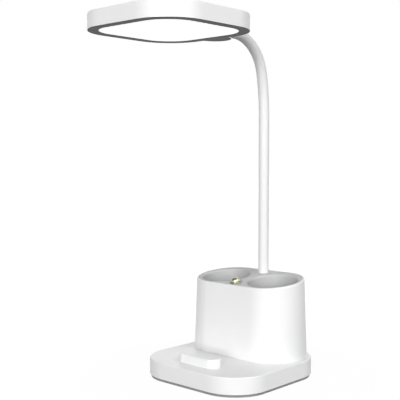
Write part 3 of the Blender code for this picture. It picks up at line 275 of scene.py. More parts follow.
class LampColours(bpy.types.PropertyGroup):
    """Colours of the finishes and strength of the diffuser's glow."""
    white: colour("White", "Housings and pen holder", (0.85, 0.85, 0.855))
    sleeve: colour("Sleeve", "Silicone sleeve of the neck", (0.82, 0.82, 0.825))
    insert: colour("Insert", "Insert of the pen holder", (0.52, 0.52, 0.525))
    ring: colour("Ring", "Dark ring of the head", (0.066, 0.066, 0.067))
    foot: colour("Foot", "Base plate", (0.34, 0.34, 0.342))
    pad: colour("Pad", "Anti-slip pad", (0.30, 0.30, 0.302))
    diffuser: colour("Diffuser", "Milky window of the head", (0.90, 0.90, 0.89))
    cap: colour("Cap", "Plated cap of the button", (0.60, 0.61, 0.44))
    bezel: colour("Bezel", "Plated ring of the button", (0.42, 0.43, 0.31))
    steel: colour("Steel", "Screws, nuts and posts", (0.56, 0.56, 0.57))
    board: colour("Board", "Solder mask of the boards in base and holder", (0.03, 0.16, 0.07))
    led_board: colour("LED board", "Solder mask of the board in the head", (0.80, 0.80, 0.80))
    wrap: colour("Wrap", "Shrink wrap of the battery", (0.10, 0.22, 0.45))
    floor: colour("Floor", "Floor of the studio", (0.18, 0.18, 0.18))
    glow: share("Glow", "Light that the diffuser sends out", 0.70)


def sizes():
    """The scene's lamp properties."""
    return bpy.context.scene.lamp


class LampProperties(bpy.types.PropertyGroup):
    """All properties of the lamp."""
    fits: PointerProperty(type=LampFits)
    base: PointerProperty(type=BaseSizes)
    port: PointerProperty(type=PortSizes)
    holder: PointerProperty(type=HolderSizes)
    button: PointerProperty(type=ButtonSizes)
    neck: PointerProperty(type=NeckSizes)
    head: PointerProperty(type=HeadSizes)
    colours: PointerProperty(type=LampColours)
    stage: PointerProperty(type=StageSizes)


# Shader maths as expressions

# Sockets of a Mix node for colours, by number because other kinds of value share their names
MIX_FACTOR = 0
MIX_FIRST = 6
MIX_SECOND = 7
MIX_RESULT = 2


class Value:
    """A shader socket that takes part in Python expressions."""

    def __init__(self, finish, socket):
        self.finish = finish
        self.socket = socket

    def math(self, operation, *values):
        """The result of a Math node."""
        return self.finish.node("ShaderNodeMath", {"operation": operation}, dict(enumerate(values)))

    def __add__(self, other):
        return self.math("ADD", self, other)

    def __sub__(self, other):
        return self.math("SUBTRACT", self, other)

    def __rsub__(self, other):
        return self.math("SUBTRACT", other, self)

    def __mul__(self, other):
        return self.math("MULTIPLY", self, other)

    __radd__ = __add__
    __rmul__ = __mul__


class Graph:
    """A node tree under construction."""

    def __init__(self, tree, output):
        self.tree = tree
        self.output = tree.nodes[output]

    def node(self, kind, settings=None, values=None, output=0):
        """Add a node, its settings first, and give one of its outputs."""
        made = self.tree.nodes.new(kind)
        for key, setting in (settings or {}).items():
            setattr(made, key, setting)
        for key, value in (values or {}).items():
            self.feed(made.inputs[key], value)
        return Value(self, made.outputs[output])

    def feed(self, socket, value):
        """Link a value to a socket, or set it there."""
        if isinstance(value, Value):
            self.tree.links.new(value.socket, socket)
        else:
            socket.default_value = value

    def seen(self):
        """1 where a camera, glossy or transmission ray meets the surface."""
        camera = self.node("ShaderNodeLightPath", output="Is Camera Ray")
        glossy = self.node("ShaderNodeLightPath", output="Is Glossy Ray")
        through = self.node("ShaderNodeLightPath", output="Is Transmission Ray")
        return camera.math("MAXIMUM", camera.math("MAXIMUM", camera, glossy), through)

    def ramp(self, value, low, high):
        """Smooth rise from 0 to 1 while a value goes from low to high."""
        return self.node("ShaderNodeMapRange", {"interpolation_type": "SMOOTHSTEP"}, {
            "Value": value, "From Min": low, "From Max": high})

    def along(self, direction):
        """How far the world's direction points along another: 1 along it, -1 against it."""
        place = self.node("ShaderNodeTexCoord", output="Generated")
        return self.node("ShaderNodeVectorMath", {"operation": "DOT_PRODUCT"}, {
            0: place, 1: Vector(direction).normalized()}, "Value")

    def mix(self, factor, first, second):
        """Mix of two shaders."""
        return self.node("ShaderNodeMixShader", None, {0: factor, 1: first, 2: second})

    def finish(self, surface):
        """Send a shader to the output."""
        self.feed(self.output.inputs["Surface"], surface)


class Finish(Graph):
    """A material under construction round one Principled shader."""

    def __init__(self, name, **constants):
        self.material = bpy.data.materials.new(name)
        self.material.use_nodes = True
        super().__init__(self.material.node_tree, "Material Output")
        self.shader = self.tree.nodes["Principled BSDF"]
        for socket, value in constants.items():
            self.shader.inputs[socket.replace("_", " ")].default_value = value

    def place(self):
        """Position on the piece."""
        return self.node("ShaderNodeTexCoord", output="Object")

    def noise(self, scale, detail=2.0, vector=None):
        """Smooth noise between 0 and 1."""
        return self.node("ShaderNodeTexNoise", None, {
            "Vector": vector or self.place(), "Scale": scale, "Detail": detail}, "Fac")

    def cells(self, scale):
        """Distance to the nearest of scattered points."""
        return self.node("ShaderNodeTexVoronoi", None, {
            "Vector": self.place(), "Scale": scale}, "Distance")

    def tint(self, factor, tone, low, high):
        """Base colour between two shades of a tone, given as brightness."""
        made = self.node("ShaderNodeMix", {"data_type": "RGBA"}, {
            MIX_FACTOR: factor, MIX_FIRST: shaded(tone, low), MIX_SECOND: shaded(tone, high)},
            MIX_RESULT)
        self.feed(self.shader.inputs["Base Color"], made)

    def relief(self, height, strength, distance):
        """Bump of the surface."""
        made = self.node("ShaderNodeBump", None, {
            "Height": height, "Strength": strength, "Distance": distance})
        self.feed(self.shader.inputs["Normal"], made)

    def roughness(self, value):
        """Roughness of the surface."""
        self.feed(self.shader.inputs["Roughness"], value)


def shaded(tone, factor):
    """A colour made darker or lighter, for a colour socket."""
    return (*(min(1.0, channel * factor) for channel in tone), 1.0)


def satin_white():
    """Satin moulded plastic: fine spark texture and slow changes of gloss."""
    finish = Finish("satin_white", IOR=1.46)
    tone = sizes().colours.white
    finish.tint(finish.noise(scale=35, detail=3.0), tone, 0.985, 1.01)
    finish.roughness(0.29 + 0.08 * finish.noise(scale=60, detail=4.0))
    sparks = finish.noise(scale=5200, detail=2.0) + 0.6 * finish.noise(scale=1700, detail=1.0)
    finish.relief(sparks, strength=0.10, distance=0.00004)
    return finish.material


def soft_sleeve():
    """Matt silicone with a fine even grain."""
    finish = Finish("soft_sleeve", IOR=1.42)
    tone = sizes().colours.sleeve
    finish.tint(finish.noise(scale=40, detail=3.0), tone, 0.98, 1.01)
    finish.roughness(0.52 + 0.10 * finish.noise(scale=220, detail=3.0))
    finish.relief(finish.noise(scale=3600, detail=3.0), strength=0.14, distance=0.00005)
    return finish.material


def grey_insert():
    """Light grey plastic with a coarser spark texture."""
    finish = Finish("grey_insert", IOR=1.46)
    tone = sizes().colours.insert
    finish.tint(finish.noise(scale=900, detail=3.0), tone, 0.96, 1.03)
    finish.roughness(0.44 + 0.12 * finish.noise(scale=120, detail=3.0))
    finish.relief(finish.noise(scale=2600, detail=3.0), strength=0.22, distance=0.00006)
    return finish.material


def dark_moulding(name, tone, grain):
    """Dark matt plastic with moulded grain."""
    finish = Finish(name, IOR=1.46, Specular_IOR_Level=0.25)
    finish.tint(finish.noise(scale=700, detail=3.0), tone, 0.90, 1.10)
    finish.roughness(0.50 + 0.14 * finish.noise(scale=150, detail=3.0))
    finish.relief(finish.noise(scale=grain, detail=3.0), strength=0.25, distance=0.00006)
    return finish.material


def grip_rubber():
    """Grey foam rubber: open cells over a slow unevenness."""
    finish = Finish("grip_rubber", IOR=1.50)
    tone = sizes().colours.pad
    cells = finish.cells(scale=1500)
    finish.tint(cells, tone, 0.7, 1.5)
    finish.roughness(0.74 + 0.16 * finish.noise(scale=200, detail=2.0))
    finish.relief(cells + 0.5 * finish.noise(scale=300, detail=2.0), strength=0.6, distance=0.0002)
    return finish.material


def milky_window():
    """Milky diffuser with a fine prism texture and an even glow."""
    colours = sizes().colours
    finish = Finish("milky_window", IOR=1.49, Emission_Color=WHITE_LIGHT,
                    Emission_Strength=colours.glow)
    cells = finish.cells(scale=1400)
    finish.tint(cells, colours.diffuser, 0.99, 1.01)
    finish.roughness(0.42 + 0.08 * finish.noise(scale=300, detail=2.0))
    finish.relief(cells, strength=0.15, distance=0.00008)
    return finish.material


def plated(name, tone, roughness):
    """Polished plating with a faint fine grain and a little haze."""
    finish = Finish(name, Metallic=1.0)
    finish.tint(finish.noise(scale=260, detail=3.0), tone, 0.95, 1.03)
    finish.roughness(roughness + 0.06 * finish.noise(scale=500, detail=4.0))
    finish.relief(finish.noise(scale=2400, detail=2.0), strength=0.05, distance=0.00003)
    return finish.material


def zinc_steel():
    """Zinc-plated steel with drawn lines and slight blotches."""
    finish = Finish("zinc_steel", Metallic=1.0)
    tone = sizes().colours.steel
    finish.tint(finish.noise(scale=160, detail=4.0), tone, 0.82, 1.12)
    drawn = finish.node("ShaderNodeMapping", None, {"Vector": finish.place(), "Scale": (1, 1, 0.08)})
    finish.roughness(0.26 + 0.18 * finish.noise(scale=900, detail=4.0, vector=drawn))
    finish.relief(finish.noise(scale=2200, detail=3.0, vector=drawn), strength=0.15, distance=0.00004)
    return finish.material


def solder_mask(name, tone):
    """Glossy solder mask over faint copper tracks."""
    finish = Finish(name, IOR=1.50, Coat_Weight=0.5, Coat_Roughness=0.15)
    tracks = finish.node("ShaderNodeTexBrick", {"offset": 0.3, "squash": 1.6}, {
        "Vector": finish.place(), "Scale": 260.0, "Mortar Size": 0.03, "Bias": 0.2}, "Fac")
    finish.tint(tracks, tone, 1.15, 0.80)
    finish.roughness(0.30 + 0.10 * finish.noise(scale=400, detail=2.0))
    finish.relief(1 - tracks, strength=0.3, distance=0.00005)
    return finish.material


def shrink_wrap():
    """Tight glossy wrap with soft creases."""
    finish = Finish("shrink_wrap", IOR=1.50, Coat_Weight=0.3)
    tone = sizes().colours.wrap
    creases = finish.noise(scale=120, detail=4.0)
    finish.tint(creases, tone, 0.85, 1.15)
    finish.roughness(0.26 + 0.12 * creases)
    finish.relief(creases, strength=0.4, distance=0.0003)
    return finish.material


FINISHES = {}


def finish_for(slot):
    """The finish of a material slot of the record, made once."""
    colours = sizes().colours
    makers = {
        "white_plastic": satin_white,
        "white_rubber": soft_sleeve,
        "grey_plastic": grey_insert,
        "dark_plastic": lambda: dark_moulding("dark_base_plate", colours.foot, grain=2400),
        "dark_ring": lambda: dark_moulding("dark_head_ring", colours.ring, grain=3200),
        "black_rubber": grip_rubber,
        "milky_plastic": milky_window,
        "champagne_metal": lambda: plated("champagne_plating", colours.cap, roughness=0.20),
        "bronze_metal": lambda: plated("bronze_plating", colours.bezel, roughness=0.22),
        "steel": zinc_steel,
        "green_board": lambda: solder_mask("green_solder_mask", colours.board),
        "white_board": lambda: solder_mask("white_solder_mask", colours.led_board),
        "battery_wrap": shrink_wrap,
    }
    if slot not in FINISHES:
        FINISHES[slot] = makers[slot]()
    return FINISHES[slot]


# Outlines: arcs of (centre x, centre y, radius, start angle, sweep), joined by straight edges

def rounded(half_x, half_y, radius, y=0.0):
    """Arcs of a rounded rectangle, anticlockwise."""
    corners = ((1, 1), (-1, 1), (-1, -1), (1, -1))
    return [(side_x * (half_x - radius), y + side_y * (half_y - radius), radius,
             QUARTER * number, QUARTER) for number, (side_x, side_y) in enumerate(corners)]


def toward(azimuth, elevation=0.0):
    """Direction turned by azimuth from the front to the right and raised by elevation."""
    level = math.cos(elevation)
    return Vector((math.sin(azimuth) * level, -math.cos(azimuth) * level, math.sin(elevation)))


def oval(margin):
    """Arcs of the holder's oval at its foot, drawn in by a margin."""
    holder = sizes().holder
    radius = holder.depth / 2 - margin
    reach = (holder.width - holder.depth) / 2
    return [(reach, holder.place, radius, -QUARTER, math.pi),
            (-reach, holder.place, radius, QUARTER, math.pi)]


def lugged():
    """Arcs of the head's outline with the round lug at its rear."""
    head = sizes().head
    half = head.side / 2
    y = head_middle().y
    corners = rounded(half, half, head.corner, y)
    flank = math.sqrt((head.lug + head.lug_fillet) ** 2 - head.lug_fillet ** 2)
    lean = math.atan2(head.lug_fillet, flank)
    side = y + half + head.lug_fillet
    return [corners[0], (flank, side, head.lug_fillet, -QUARTER, lean - QUARTER),
            (0.0, y + half, head.lug, lean, math.pi - 2 * lean),
            (-flank, side, head.lug_fillet, -lean, lean - QUARTER)] + corners[1:]


def only(items, kind):
    """Those of the items that are of one kind."""
    return [item for item in items if isinstance(item, kind)]


def outline(bm, arcs, z):
    """Edges of an outline: each arc is spun from its first point."""
    fits = sizes().fits
    ends = []
    for x, y, radius, start, sweep in arcs:
        first = bm.verts.new((x + radius * math.cos(start), y + radius * math.sin(start), z))
        steps = max(fits.arc_steps, round(fits.corner_steps * abs(sweep) / QUARTER))
        spun = bmesh.ops.spin(bm, geom=[first], cent=(x, y, z), axis=(0, 0, 1), dvec=(0, 0, 0),
                              angle=sweep, steps=steps, use_merge=False)
        ends.append((first, spun["geom_last"][0]))
    for (first, last), (following, _) in zip(ends, ends[1:] + ends[:1]):
        if (last.co - following.co).length > WELD:
            bm.edges.new((last, following))
    bmesh.ops.remove_doubles(bm, verts=bm.verts, dist=WELD)
    return [edge for edge in bm.edges if not edge.link_faces]


def sheet(bm, arcs, z):
    """A flat face inside an outline, facing up."""
    face = bmesh.ops.contextual_create(bm, geom=outline(bm, arcs, z))["faces"][0]
    face.normal_update()
    if face.normal.z < 0:
        face.normal_flip()
    return face


def thicken(bm, face, rise):
    """Extrude a lone face along a vector and keep it; gives the far face."""
    far = only(bmesh.ops.extrude_face_region(bm, geom=[face])["geom"], bmesh.types.BMFace)[0]
    bmesh.ops.translate(bm, vec=rise, verts=far.verts)
    return far


def push(bm, face, rise):
    """Extrude a face of a body along a vector; gives the moved face."""
    far = bmesh.ops.extrude_discrete_faces(bm, faces=[face])["faces"][0]
    bmesh.ops.translate(bm, vec=rise, verts=far.verts)
    return far


def inset(bm, face, width, rise=0.0):
    """Draw a face in by a width and up by a rise; the face itself becomes the inner one."""
    bmesh.ops.inset_region(bm, faces=[face], thickness=width, depth=rise, use_boundary=True,
                           use_even_offset=True)


def round_edges(bm, edges, radius, steps=None):
    """Round edges of a body."""
    bmesh.ops.bevel(bm, geom=list(edges), offset=radius, offset_type="OFFSET",
                    segments=steps or sizes().fits.edge_steps, profile=0.5, affect="EDGES",
                    material=-1, clamp_overlap=True)


def sharp_edges(bm, level=math.inf):
    """Edges that are steeper than the sharp angle and no higher than a level."""
    return [edge for edge in bm.edges if len(edge.link_faces) == 2
            and edge.calc_face_angle(0.0) > SHARP_ANGLE
            and all(vert.co.z < level + WELD for vert in edge.verts)]


def turned(profile, place):
    """Body of a profile of (radius, height) points spun round the Z axis of place."""
    bm = bmesh.new()
    verts = [bm.verts.new((radius, 0, z)) for radius, z in profile]
    edges = [bm.edges.new(pair) for pair in zip(verts, verts[1:])]
    if profile[0][0] > 0:
        edges.append(bm.edges.new((verts[-1], verts[0])))
    bmesh.ops.spin(bm, geom=verts + edges, cent=(0, 0, 0), axis=(0, 0, 1), dvec=(0, 0, 0),
                   angle=2 * math.pi, steps=sizes().fits.round_steps, use_merge=True)
    bmesh.ops.remove_doubles(bm, verts=bm.verts, dist=WELD)
    bmesh.ops.transform(bm, matrix=place, verts=bm.verts)
    return bm


# Pieces

def put(name, bm):
    """Give a mesh to a new object of the scene."""
    mesh = bpy.data.meshes.new(name)
    bm.to_mesh(mesh)
    bm.free()
    thing = bpy.data.objects.new(name, mesh)
    bpy.context.scene.collection.objects.link(thing)
    return thing


def make_piece(name, bm, body, slot, *nodes, finish=None, closed=True):
    """Give a finished mesh its object, finish and body, and hide the CAD nodes that it stands for."""
    bmesh.ops.remove_doubles(bm, verts=bm.verts, dist=WELD)
    if closed:
        bmesh.ops.recalc_face_normals(bm, faces=bm.faces)
    thing = put(name, bm)
    thing.data.shade_smooth()
    thing.data.set_sharp_from_angle(angle=SMOOTH_ANGLE)
    thing.data.materials.append(finish_for(finish or slot))
    if body:
        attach(thing, body)
    if nodes:
        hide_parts(*nodes)
    return thing


def cut(thing, cutter):
    """Cut a body out of a piece and keep the result as its mesh."""
    bmesh.ops.recalc_face_normals(cutter, faces=cutter.faces)
    tool = put("cutter", cutter)
    modifier = thing.modifiers.new("Cut", "BOOLEAN")
    modifier.operation = "DIFFERENCE"
    modifier.object = tool
    modifier.solver = "EXACT"
    graph = bpy.context.evaluated_depsgraph_get()
    result = bpy.data.meshes.new_from_object(thing.evaluated_get(graph))
    thing.modifiers.remove(modifier)
    bpy.data.objects.remove(tool)
    thing.data = result
    result.set_sharp_from_angle(angle=SMOOTH_ANGLE)


def even_shading(thing):
    """Keep large flat faces flat where they meet rounded edges."""
    modifier = thing.modifiers.new("Even shading", "WEIGHTED_NORMAL")
    modifier.keep_sharp = True
    modifier.weight = FACE_WEIGHT


def housing(arcs, low, high, edge, wall):
    """A shell open below, with a rounded upper edge."""
    bm = bmesh.new()
    bottom = sheet(bm, arcs, low)
    top = thicken(bm, bottom, (0, 0, high - low))
    rim = list(top.edges)
    inset(bm, bottom, wall)
    push(bm, bottom, (0, 0, high - low - wall))
    round_edges(bm, rim, edge)
    return bm


def deck_height(y, drop=0.0):
    """Height of the rim plane at y, lowered by drop."""
    holder = sizes().holder
    return holder.foot + holder.height - drop + holder.slope * (y - holder.place)


def deck_normal():
    """Upward normal of the rim plane."""
    return Vector((0, -sizes().holder.slope, 1)).normalized()


def on_deck(x, y, drop=0.0):
    """Frame at a point of the rim plane, sheared to its slope: seen from above, a circle stays round."""
    shear = Matrix.Identity(4)
    shear[2][1] = sizes().holder.slope
    return Matrix.Translation((x, y, deck_height(y, drop))) @ shear


def square_to_deck(y):
    """Frame on the deck at y whose Z axis is square to it."""
    holder = sizes().holder
    return (Matrix.Translation((0, y, deck_height(y, holder.deck_drop)))
            @ Matrix.Rotation(math.atan(holder.slope), 4, "X"))


def neck_stretches():
    """Lengths of the neck above the deck: straight, slight lean, tight bend and level run."""
    neck = sizes().neck
    return (neck.straight, neck.lean_radius * neck.lean,
            neck.bend_radius * (QUARTER - neck.lean), neck.run)


def neck_frame(s):
    """Frame of the neck at a length s above the deck: Z runs along the neck."""
    neck = sizes().neck
    _, lean_length, bend_length, _ = neck_stretches()
    lean = min(max(s - neck.straight, 0.0), lean_length) / neck.lean_radius
    bend = min(max(s - neck.straight - lean_length, 0.0), bend_length) / neck.bend_radius
    run = max(s - neck.straight - lean_length - bend_length, 0.0)
    foot = deck_height(neck.place, sizes().holder.deck_drop)
    turn = lean + bend
    y = neck.place - neck.lean_radius * (1 - math.cos(lean))
    y -= neck.bend_radius * (math.cos(lean) - math.cos(turn)) + run
    z = foot + min(s, neck.straight) + neck.lean_radius * math.sin(lean)
    z += neck.bend_radius * (math.sin(turn) - math.sin(lean))
    return Matrix.Translation((0, y, z)) @ Matrix.Rotation(turn, 4, "X")


def neck_end():
    """Point where the neck meets the head."""
    return neck_frame(sum(neck_stretches())).translation


def head_middle():
    """Middle of the head's underside."""
    head = sizes().head
    end = neck_end()
    return Vector((0, end.y - head.lug - head.side / 2, end.z - head.axis))


def rearward(place):
    """Frame at a place whose Z axis points to the rear."""
    return Matrix.Translation(place) @ Matrix.Rotation(-QUARTER, 4, "X")


class LAMP_OT_base(bpy.types.Operator):
    """Make the base housing, the anti-slip pad and the phone stop"""
    bl_idname = "lamp.base"
    bl_label = "Base"

    def execute(self, context):
        base = sizes().base
        fits = sizes().fits
        half = base.side / 2
        bm = bmesh.new()
        reach = half - base.pad_inset
        low = sheet(bm, rounded(reach, reach, base.corner - base.pad_inset), 0.0)
        thicken(bm, low, (0, 0, base.pad))
        make_piece("grip_pad", bm, "base", "black_rubber", "foot_pad")

        arcs = rounded(half, half, base.corner)
        bm = housing(arcs, base.bottom, base.height, base.edge, base.wall)
        round_edges(bm, sharp_edges(bm, base.bottom), fits.crisp, fits.crisp_steps)
        shell = make_piece("base_housing", bm, "base", "white_plastic", "base_shell")
        cut(shell, port_hole())
        even_shading(shell)

        foot = base.height + fits.crisp
        arcs = rounded(base.stop_length / 2, base.stop_depth / 2, base.stop_corner, base.stop_y)
        bm = housing(arcs, foot, base.height + fits.gap + base.stop_height, base.stop_edge, base.wall)
        even_shading(make_piece("phone_rest", bm, "base", "white_plastic", "phone_stop"))
        return {"FINISHED"}


def port_outline(swell):
    """Arcs of the charging port in its own frame, made wider by swell."""
    low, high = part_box("charge_socket")
    half_x = (high[0] - low[0]) / 2 + swell
    half_z = (high[2] - low[2]) / 2 + swell
    return rounded(half_x, half_z, half_z * sizes().port.corner)


def into_port(bm):
    """Move a mesh from the port's own frame, whose Z axis points out of the mouth, to the rear wall."""
    low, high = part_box("charge_socket")
    mouth = ((low[0] + high[0]) / 2, high[1], (low[2] + high[2]) / 2)
    bmesh.ops.transform(bm, matrix=rearward(mouth), verts=bm.verts)


def block(bm, middle, size):
    """A box given by its middle and its size."""
    bmesh.ops.create_cube(bm, size=1, matrix=Matrix.Translation(middle) @ Matrix.Diagonal((*size, 1)))


def port_hole():
    """Cutter for the port's hole in the rear wall."""
    depth = sizes().base.wall * 2
    bm = bmesh.new()
    face = sheet(bm, port_outline(sizes().fits.gap), -depth)
    thicken(bm, face, (0, 0, 2 * depth))
    into_port(bm)
    return bm


class LAMP_OT_port(bpy.types.Operator):
    """Make the charging port with its tongue and contacts"""
    bl_idname = "lamp.port"
    bl_label = "Charging port"

    def execute(self, context):
        port = sizes().port
        fits = sizes().fits
        low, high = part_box("charge_socket")
        depth = high[1] - low[1]
        bm = bmesh.new()
        back = sheet(bm, port_outline(0.0), -depth)
        mouth = thicken(bm, back, (0, 0, depth))
        inset(bm, mouth, port.wall)
        push(bm, mouth, (0, 0, -depth * port.hollow))
        into_port(bm)
        make_piece("port_shell", bm, "base", "steel", "charge_socket")

        bm = bmesh.new()
        reach = depth * port.tongue_length
        middle = depth * (1 - port.hollow) + reach / 2 + port.tongue_inset
        block(bm, (0, 0, -middle), (port.tongue_width, port.tongue, reach))
        round_edges(bm, bm.edges, port.tongue_edge, fits.crisp_steps)
        into_port(bm)
        make_piece("port_tongue", bm, "base", "dark_plastic", finish="dark_ring")

        bm = bmesh.new()
        for side in (-1, 1):
            for number in range(port.contacts):
                x = (number - (port.contacts - 1) / 2) * port.pitch
                block(bm, (x, side * port.contact_height, -port.contact_depth),
                      (port.contact_width, port.contact, port.contact_length))
        into_port(bm)
        make_piece("port_contacts", bm, "base", "champagne_metal")
        return {"FINISHED"}


def tapered(bm, margin):
    """The holder's oval, drawn in by a margin and up with its taper to above the rim."""
    holder = sizes().holder
    tall = holder.height * holder.spare
    inset(bm, sheet(bm, oval(margin), holder.foot), holder.taper * tall, tall)


def sliced(bm, drop, **cleared):
    """Cut a mesh along the rim plane, lowered by drop; gives the edges of the cut."""
    place = sizes().holder.place
    line = bmesh.ops.bisect_plane(bm, geom=bm.verts[:] + bm.edges[:] + bm.faces[:],
                                  plane_co=(0, place, deck_height(place, drop)),
                                  plane_no=deck_normal(), **cleared)["geom_cut"]
    return only(line, bmesh.types.BMEdge)


class LAMP_OT_holder(bpy.types.Operator):
    """Make the tapered white wall of the pen holder"""
    bl_idname = "lamp.holder"
    bl_label = "Pen holder"

    def execute(self, context):
        holder = sizes().holder
        fits = sizes().fits
        bm = bmesh.new()
        tapered(bm, 0.0)
        rim = sliced(bm, 0.0, clear_outer=True)
        top = bmesh.ops.contextual_create(bm, geom=rim)["faces"][0]
        bmesh.ops.contextual_create(bm, geom=[edge for edge in bm.edges if len(edge.link_faces) == 1])
        inset(bm, top, holder.wall)
        inner = list(top.edges)
        floor = push(bm, top, (0, 0, -holder.deck_drop))
        level = holder.foot + holder.floor
        bmesh.ops.scale(bm, vec=(1, 1, 0), space=Matrix.Translation((0, 0, -level)), verts=floor.verts)
        outer = [edge for edge in bm.edges if len(edge.link_faces) == 2 and edge in rim]
        round_edges(bm, outer, holder.edge, fits.rim_steps)
        inner = [edge for edge in inner if edge.is_valid]
        round_edges(bm, inner, holder.inner_edge, fits.fine_steps)
        lowest = [vert for vert in bm.verts if vert.co.z < holder.foot + WELD]
        bmesh.ops.translate(bm, vec=(0, 0, -holder.seat), verts=lowest)
        even_shading(make_piece("holder_wall", bm, "base", "white_plastic", "holder_shell"))
        return {"FINISHED"}


def ring_down(bm, edges, centre, scale, drop, level=False):
    """Extrude a ring of edges, scale it about centre, flat if level, and lower it; gives the new ring."""
    grown = bmesh.ops.extrude_edge_only(bm, edges=edges)["geom"]
    verts = only(grown, bmesh.types.BMVert)
    bmesh.ops.scale(bm, vec=(scale, scale, 0 if level else scale), space=Matrix.Translation(-centre),
                    verts=verts)
    bmesh.ops.translate(bm, vec=(0, 0, -drop), verts=verts)
    return only(grown, bmesh.types.BMEdge)


def new_ring(bm, place, radius, steps):
    """A bare ring of edges."""
    made = bmesh.ops.create_circle(bm, cap_ends=False, segments=steps, radius=radius, matrix=place)
    return list({edge for vert in made["verts"] for edge in vert.link_edges})


def sink_cup(bm, x, ring):
    """Draw a ring of the sloping deck down to a cup with a level floor."""
    holder = sizes().holder
    steps = sizes().fits.edge_steps
    mouth = deck_height(holder.cup_y, holder.deck_drop)
    rise = holder.cup_floor + holder.cup_fillet
    profile = [(holder.cup_radius + holder.cup_lip, mouth)]
    for step in range(1, steps + 2):
        turn = QUARTER * step / (steps + 1)
        profile.append((holder.cup_radius + holder.cup_lip * (1 - math.sin(turn)),
                        mouth - holder.cup_lip * (1 - math.cos(turn))))
    for step in range(steps + 1):
        turn = QUARTER * step / steps
        profile.append((holder.cup_floor_radius - holder.cup_fillet * (1 - math.cos(turn)),
                        rise - holder.cup_fillet * math.sin(turn)))
    for (wide, high), (narrow, low) in zip(profile, profile[1:]):
        centre = Vector((x, holder.cup_y, high))
        ring = ring_down(bm, ring, centre, narrow / wide, high - low, level=low <= rise)
    bmesh.ops.contextual_create(bm, geom=ring)


class LAMP_OT_insert(bpy.types.Operator):
    """Make the grey insert: deck, skirt and two round cups"""
    bl_idname = "lamp.insert"
    bl_label = "Insert"

    def execute(self, context):
        holder = sizes().holder
        fits = sizes().fits
        neck = sizes().neck
        button = sizes().button
        bm = bmesh.new()
        tapered(bm, holder.wall + fits.gap)
        rim = sliced(bm, holder.deck_drop, clear_outer=True)
        sliced(bm, holder.skirt, clear_inner=True)
        top = bmesh.ops.contextual_create(bm, geom=rim)["faces"][0]
        round_edges(bm, top.edges, holder.deck_edge, fits.fine_steps)
        top = max(bm.faces, key=lambda face: face.calc_area())
        loops = list(top.edges)
        bmesh.ops.delete(bm, geom=[top], context="FACES_ONLY")

        cups = []
        for x in (-holder.cup_x, holder.cup_x):
            place = on_deck(x, holder.cup_y, holder.deck_drop)
            ring = new_ring(bm, place, holder.cup_radius + holder.cup_lip, fits.round_steps)
            cups.append((x, ring))
            loops += ring
        bore = neck.radius + fits.gap + fits.gap
        neck_ring = new_ring(bm, on_deck(0, neck.place, holder.deck_drop), bore, fits.bore_steps)
        guide = button.radius + fits.gap + button.bush + fits.gap
        button_ring = new_ring(bm, square_to_deck(button.place), guide, fits.bore_steps)
        bmesh.ops.triangle_fill(bm, use_beauty=True, use_dissolve=False,
                                edges=loops + neck_ring + button_ring, normal=deck_normal())

        for x, ring in cups:
            sink_cup(bm, x, ring)
        for ring in (neck_ring, button_ring):
            ring_down(bm, ring, Vector((0, 0, 0)), 1.0, holder.deck)
        bmesh.ops.remove_doubles(bm, verts=bm.verts, dist=WELD)
        bmesh.ops.recalc_face_normals(bm, faces=bm.faces)
        floor = min(bm.faces, key=lambda face: face.calc_center_median().z)
        floor.normal_update()
        if floor.normal.z < 0:
            bmesh.ops.reverse_faces(bm, faces=bm.faces)
        tray = make_piece("holder_tray", bm, "base", "grey_plastic", "holder_insert", closed=False)
        wall = tray.modifiers.new("Wall", "SOLIDIFY")
        wall.thickness = holder.deck
        wall.offset = -1.0
        even_shading(tray)
        return {"FINISHED"}


class LAMP_OT_button(bpy.types.Operator):
    """Make the push button's plated ring and domed cap"""
    bl_idname = "lamp.button"
    bl_label = "Push button"

    def execute(self, context):
        button = sizes().button
        fits = sizes().fits
        place = square_to_deck(button.place)
        bore = button.radius + fits.gap
        guide = bore + button.bush
        flange = guide + button.flange
        bm = turned(((bore, -button.collar_depth + fits.gap), (guide, -button.collar_depth + fits.gap),
                     (guide, fits.gap), (flange, fits.gap), (flange, button.flange_height),
                     (bore, button.flange_height)), place)
        upper = [edge for edge in sharp_edges(bm) if all(
            (place.inverted() @ vert.co).z > button.flange_height - WELD for vert in edge.verts)]
        round_edges(bm, upper, button.bush * button.edge, button.edge_steps)
        make_piece("button_ring", bm, "base", "champagne_metal", "button_bezel", finish="bronze_metal")

        collar = button.radius + button.collar
        low = -button.collar_depth - button.collar_height
        profile = [(0, low), (collar, low), (collar, -button.collar_depth),
                   (button.radius, -button.collar_depth)]
        for step in range(fits.dome_steps):
            turn = QUARTER * step / fits.dome_steps
            profile.append((button.radius * math.cos(turn),
                            button.height - button.dome * (1 - math.sin(turn))))
        profile.append((0, button.height))
        make_piece("button_dome", turned(profile, place), "button", "champagne_metal", "button_cap")
        return {"FINISHED"}


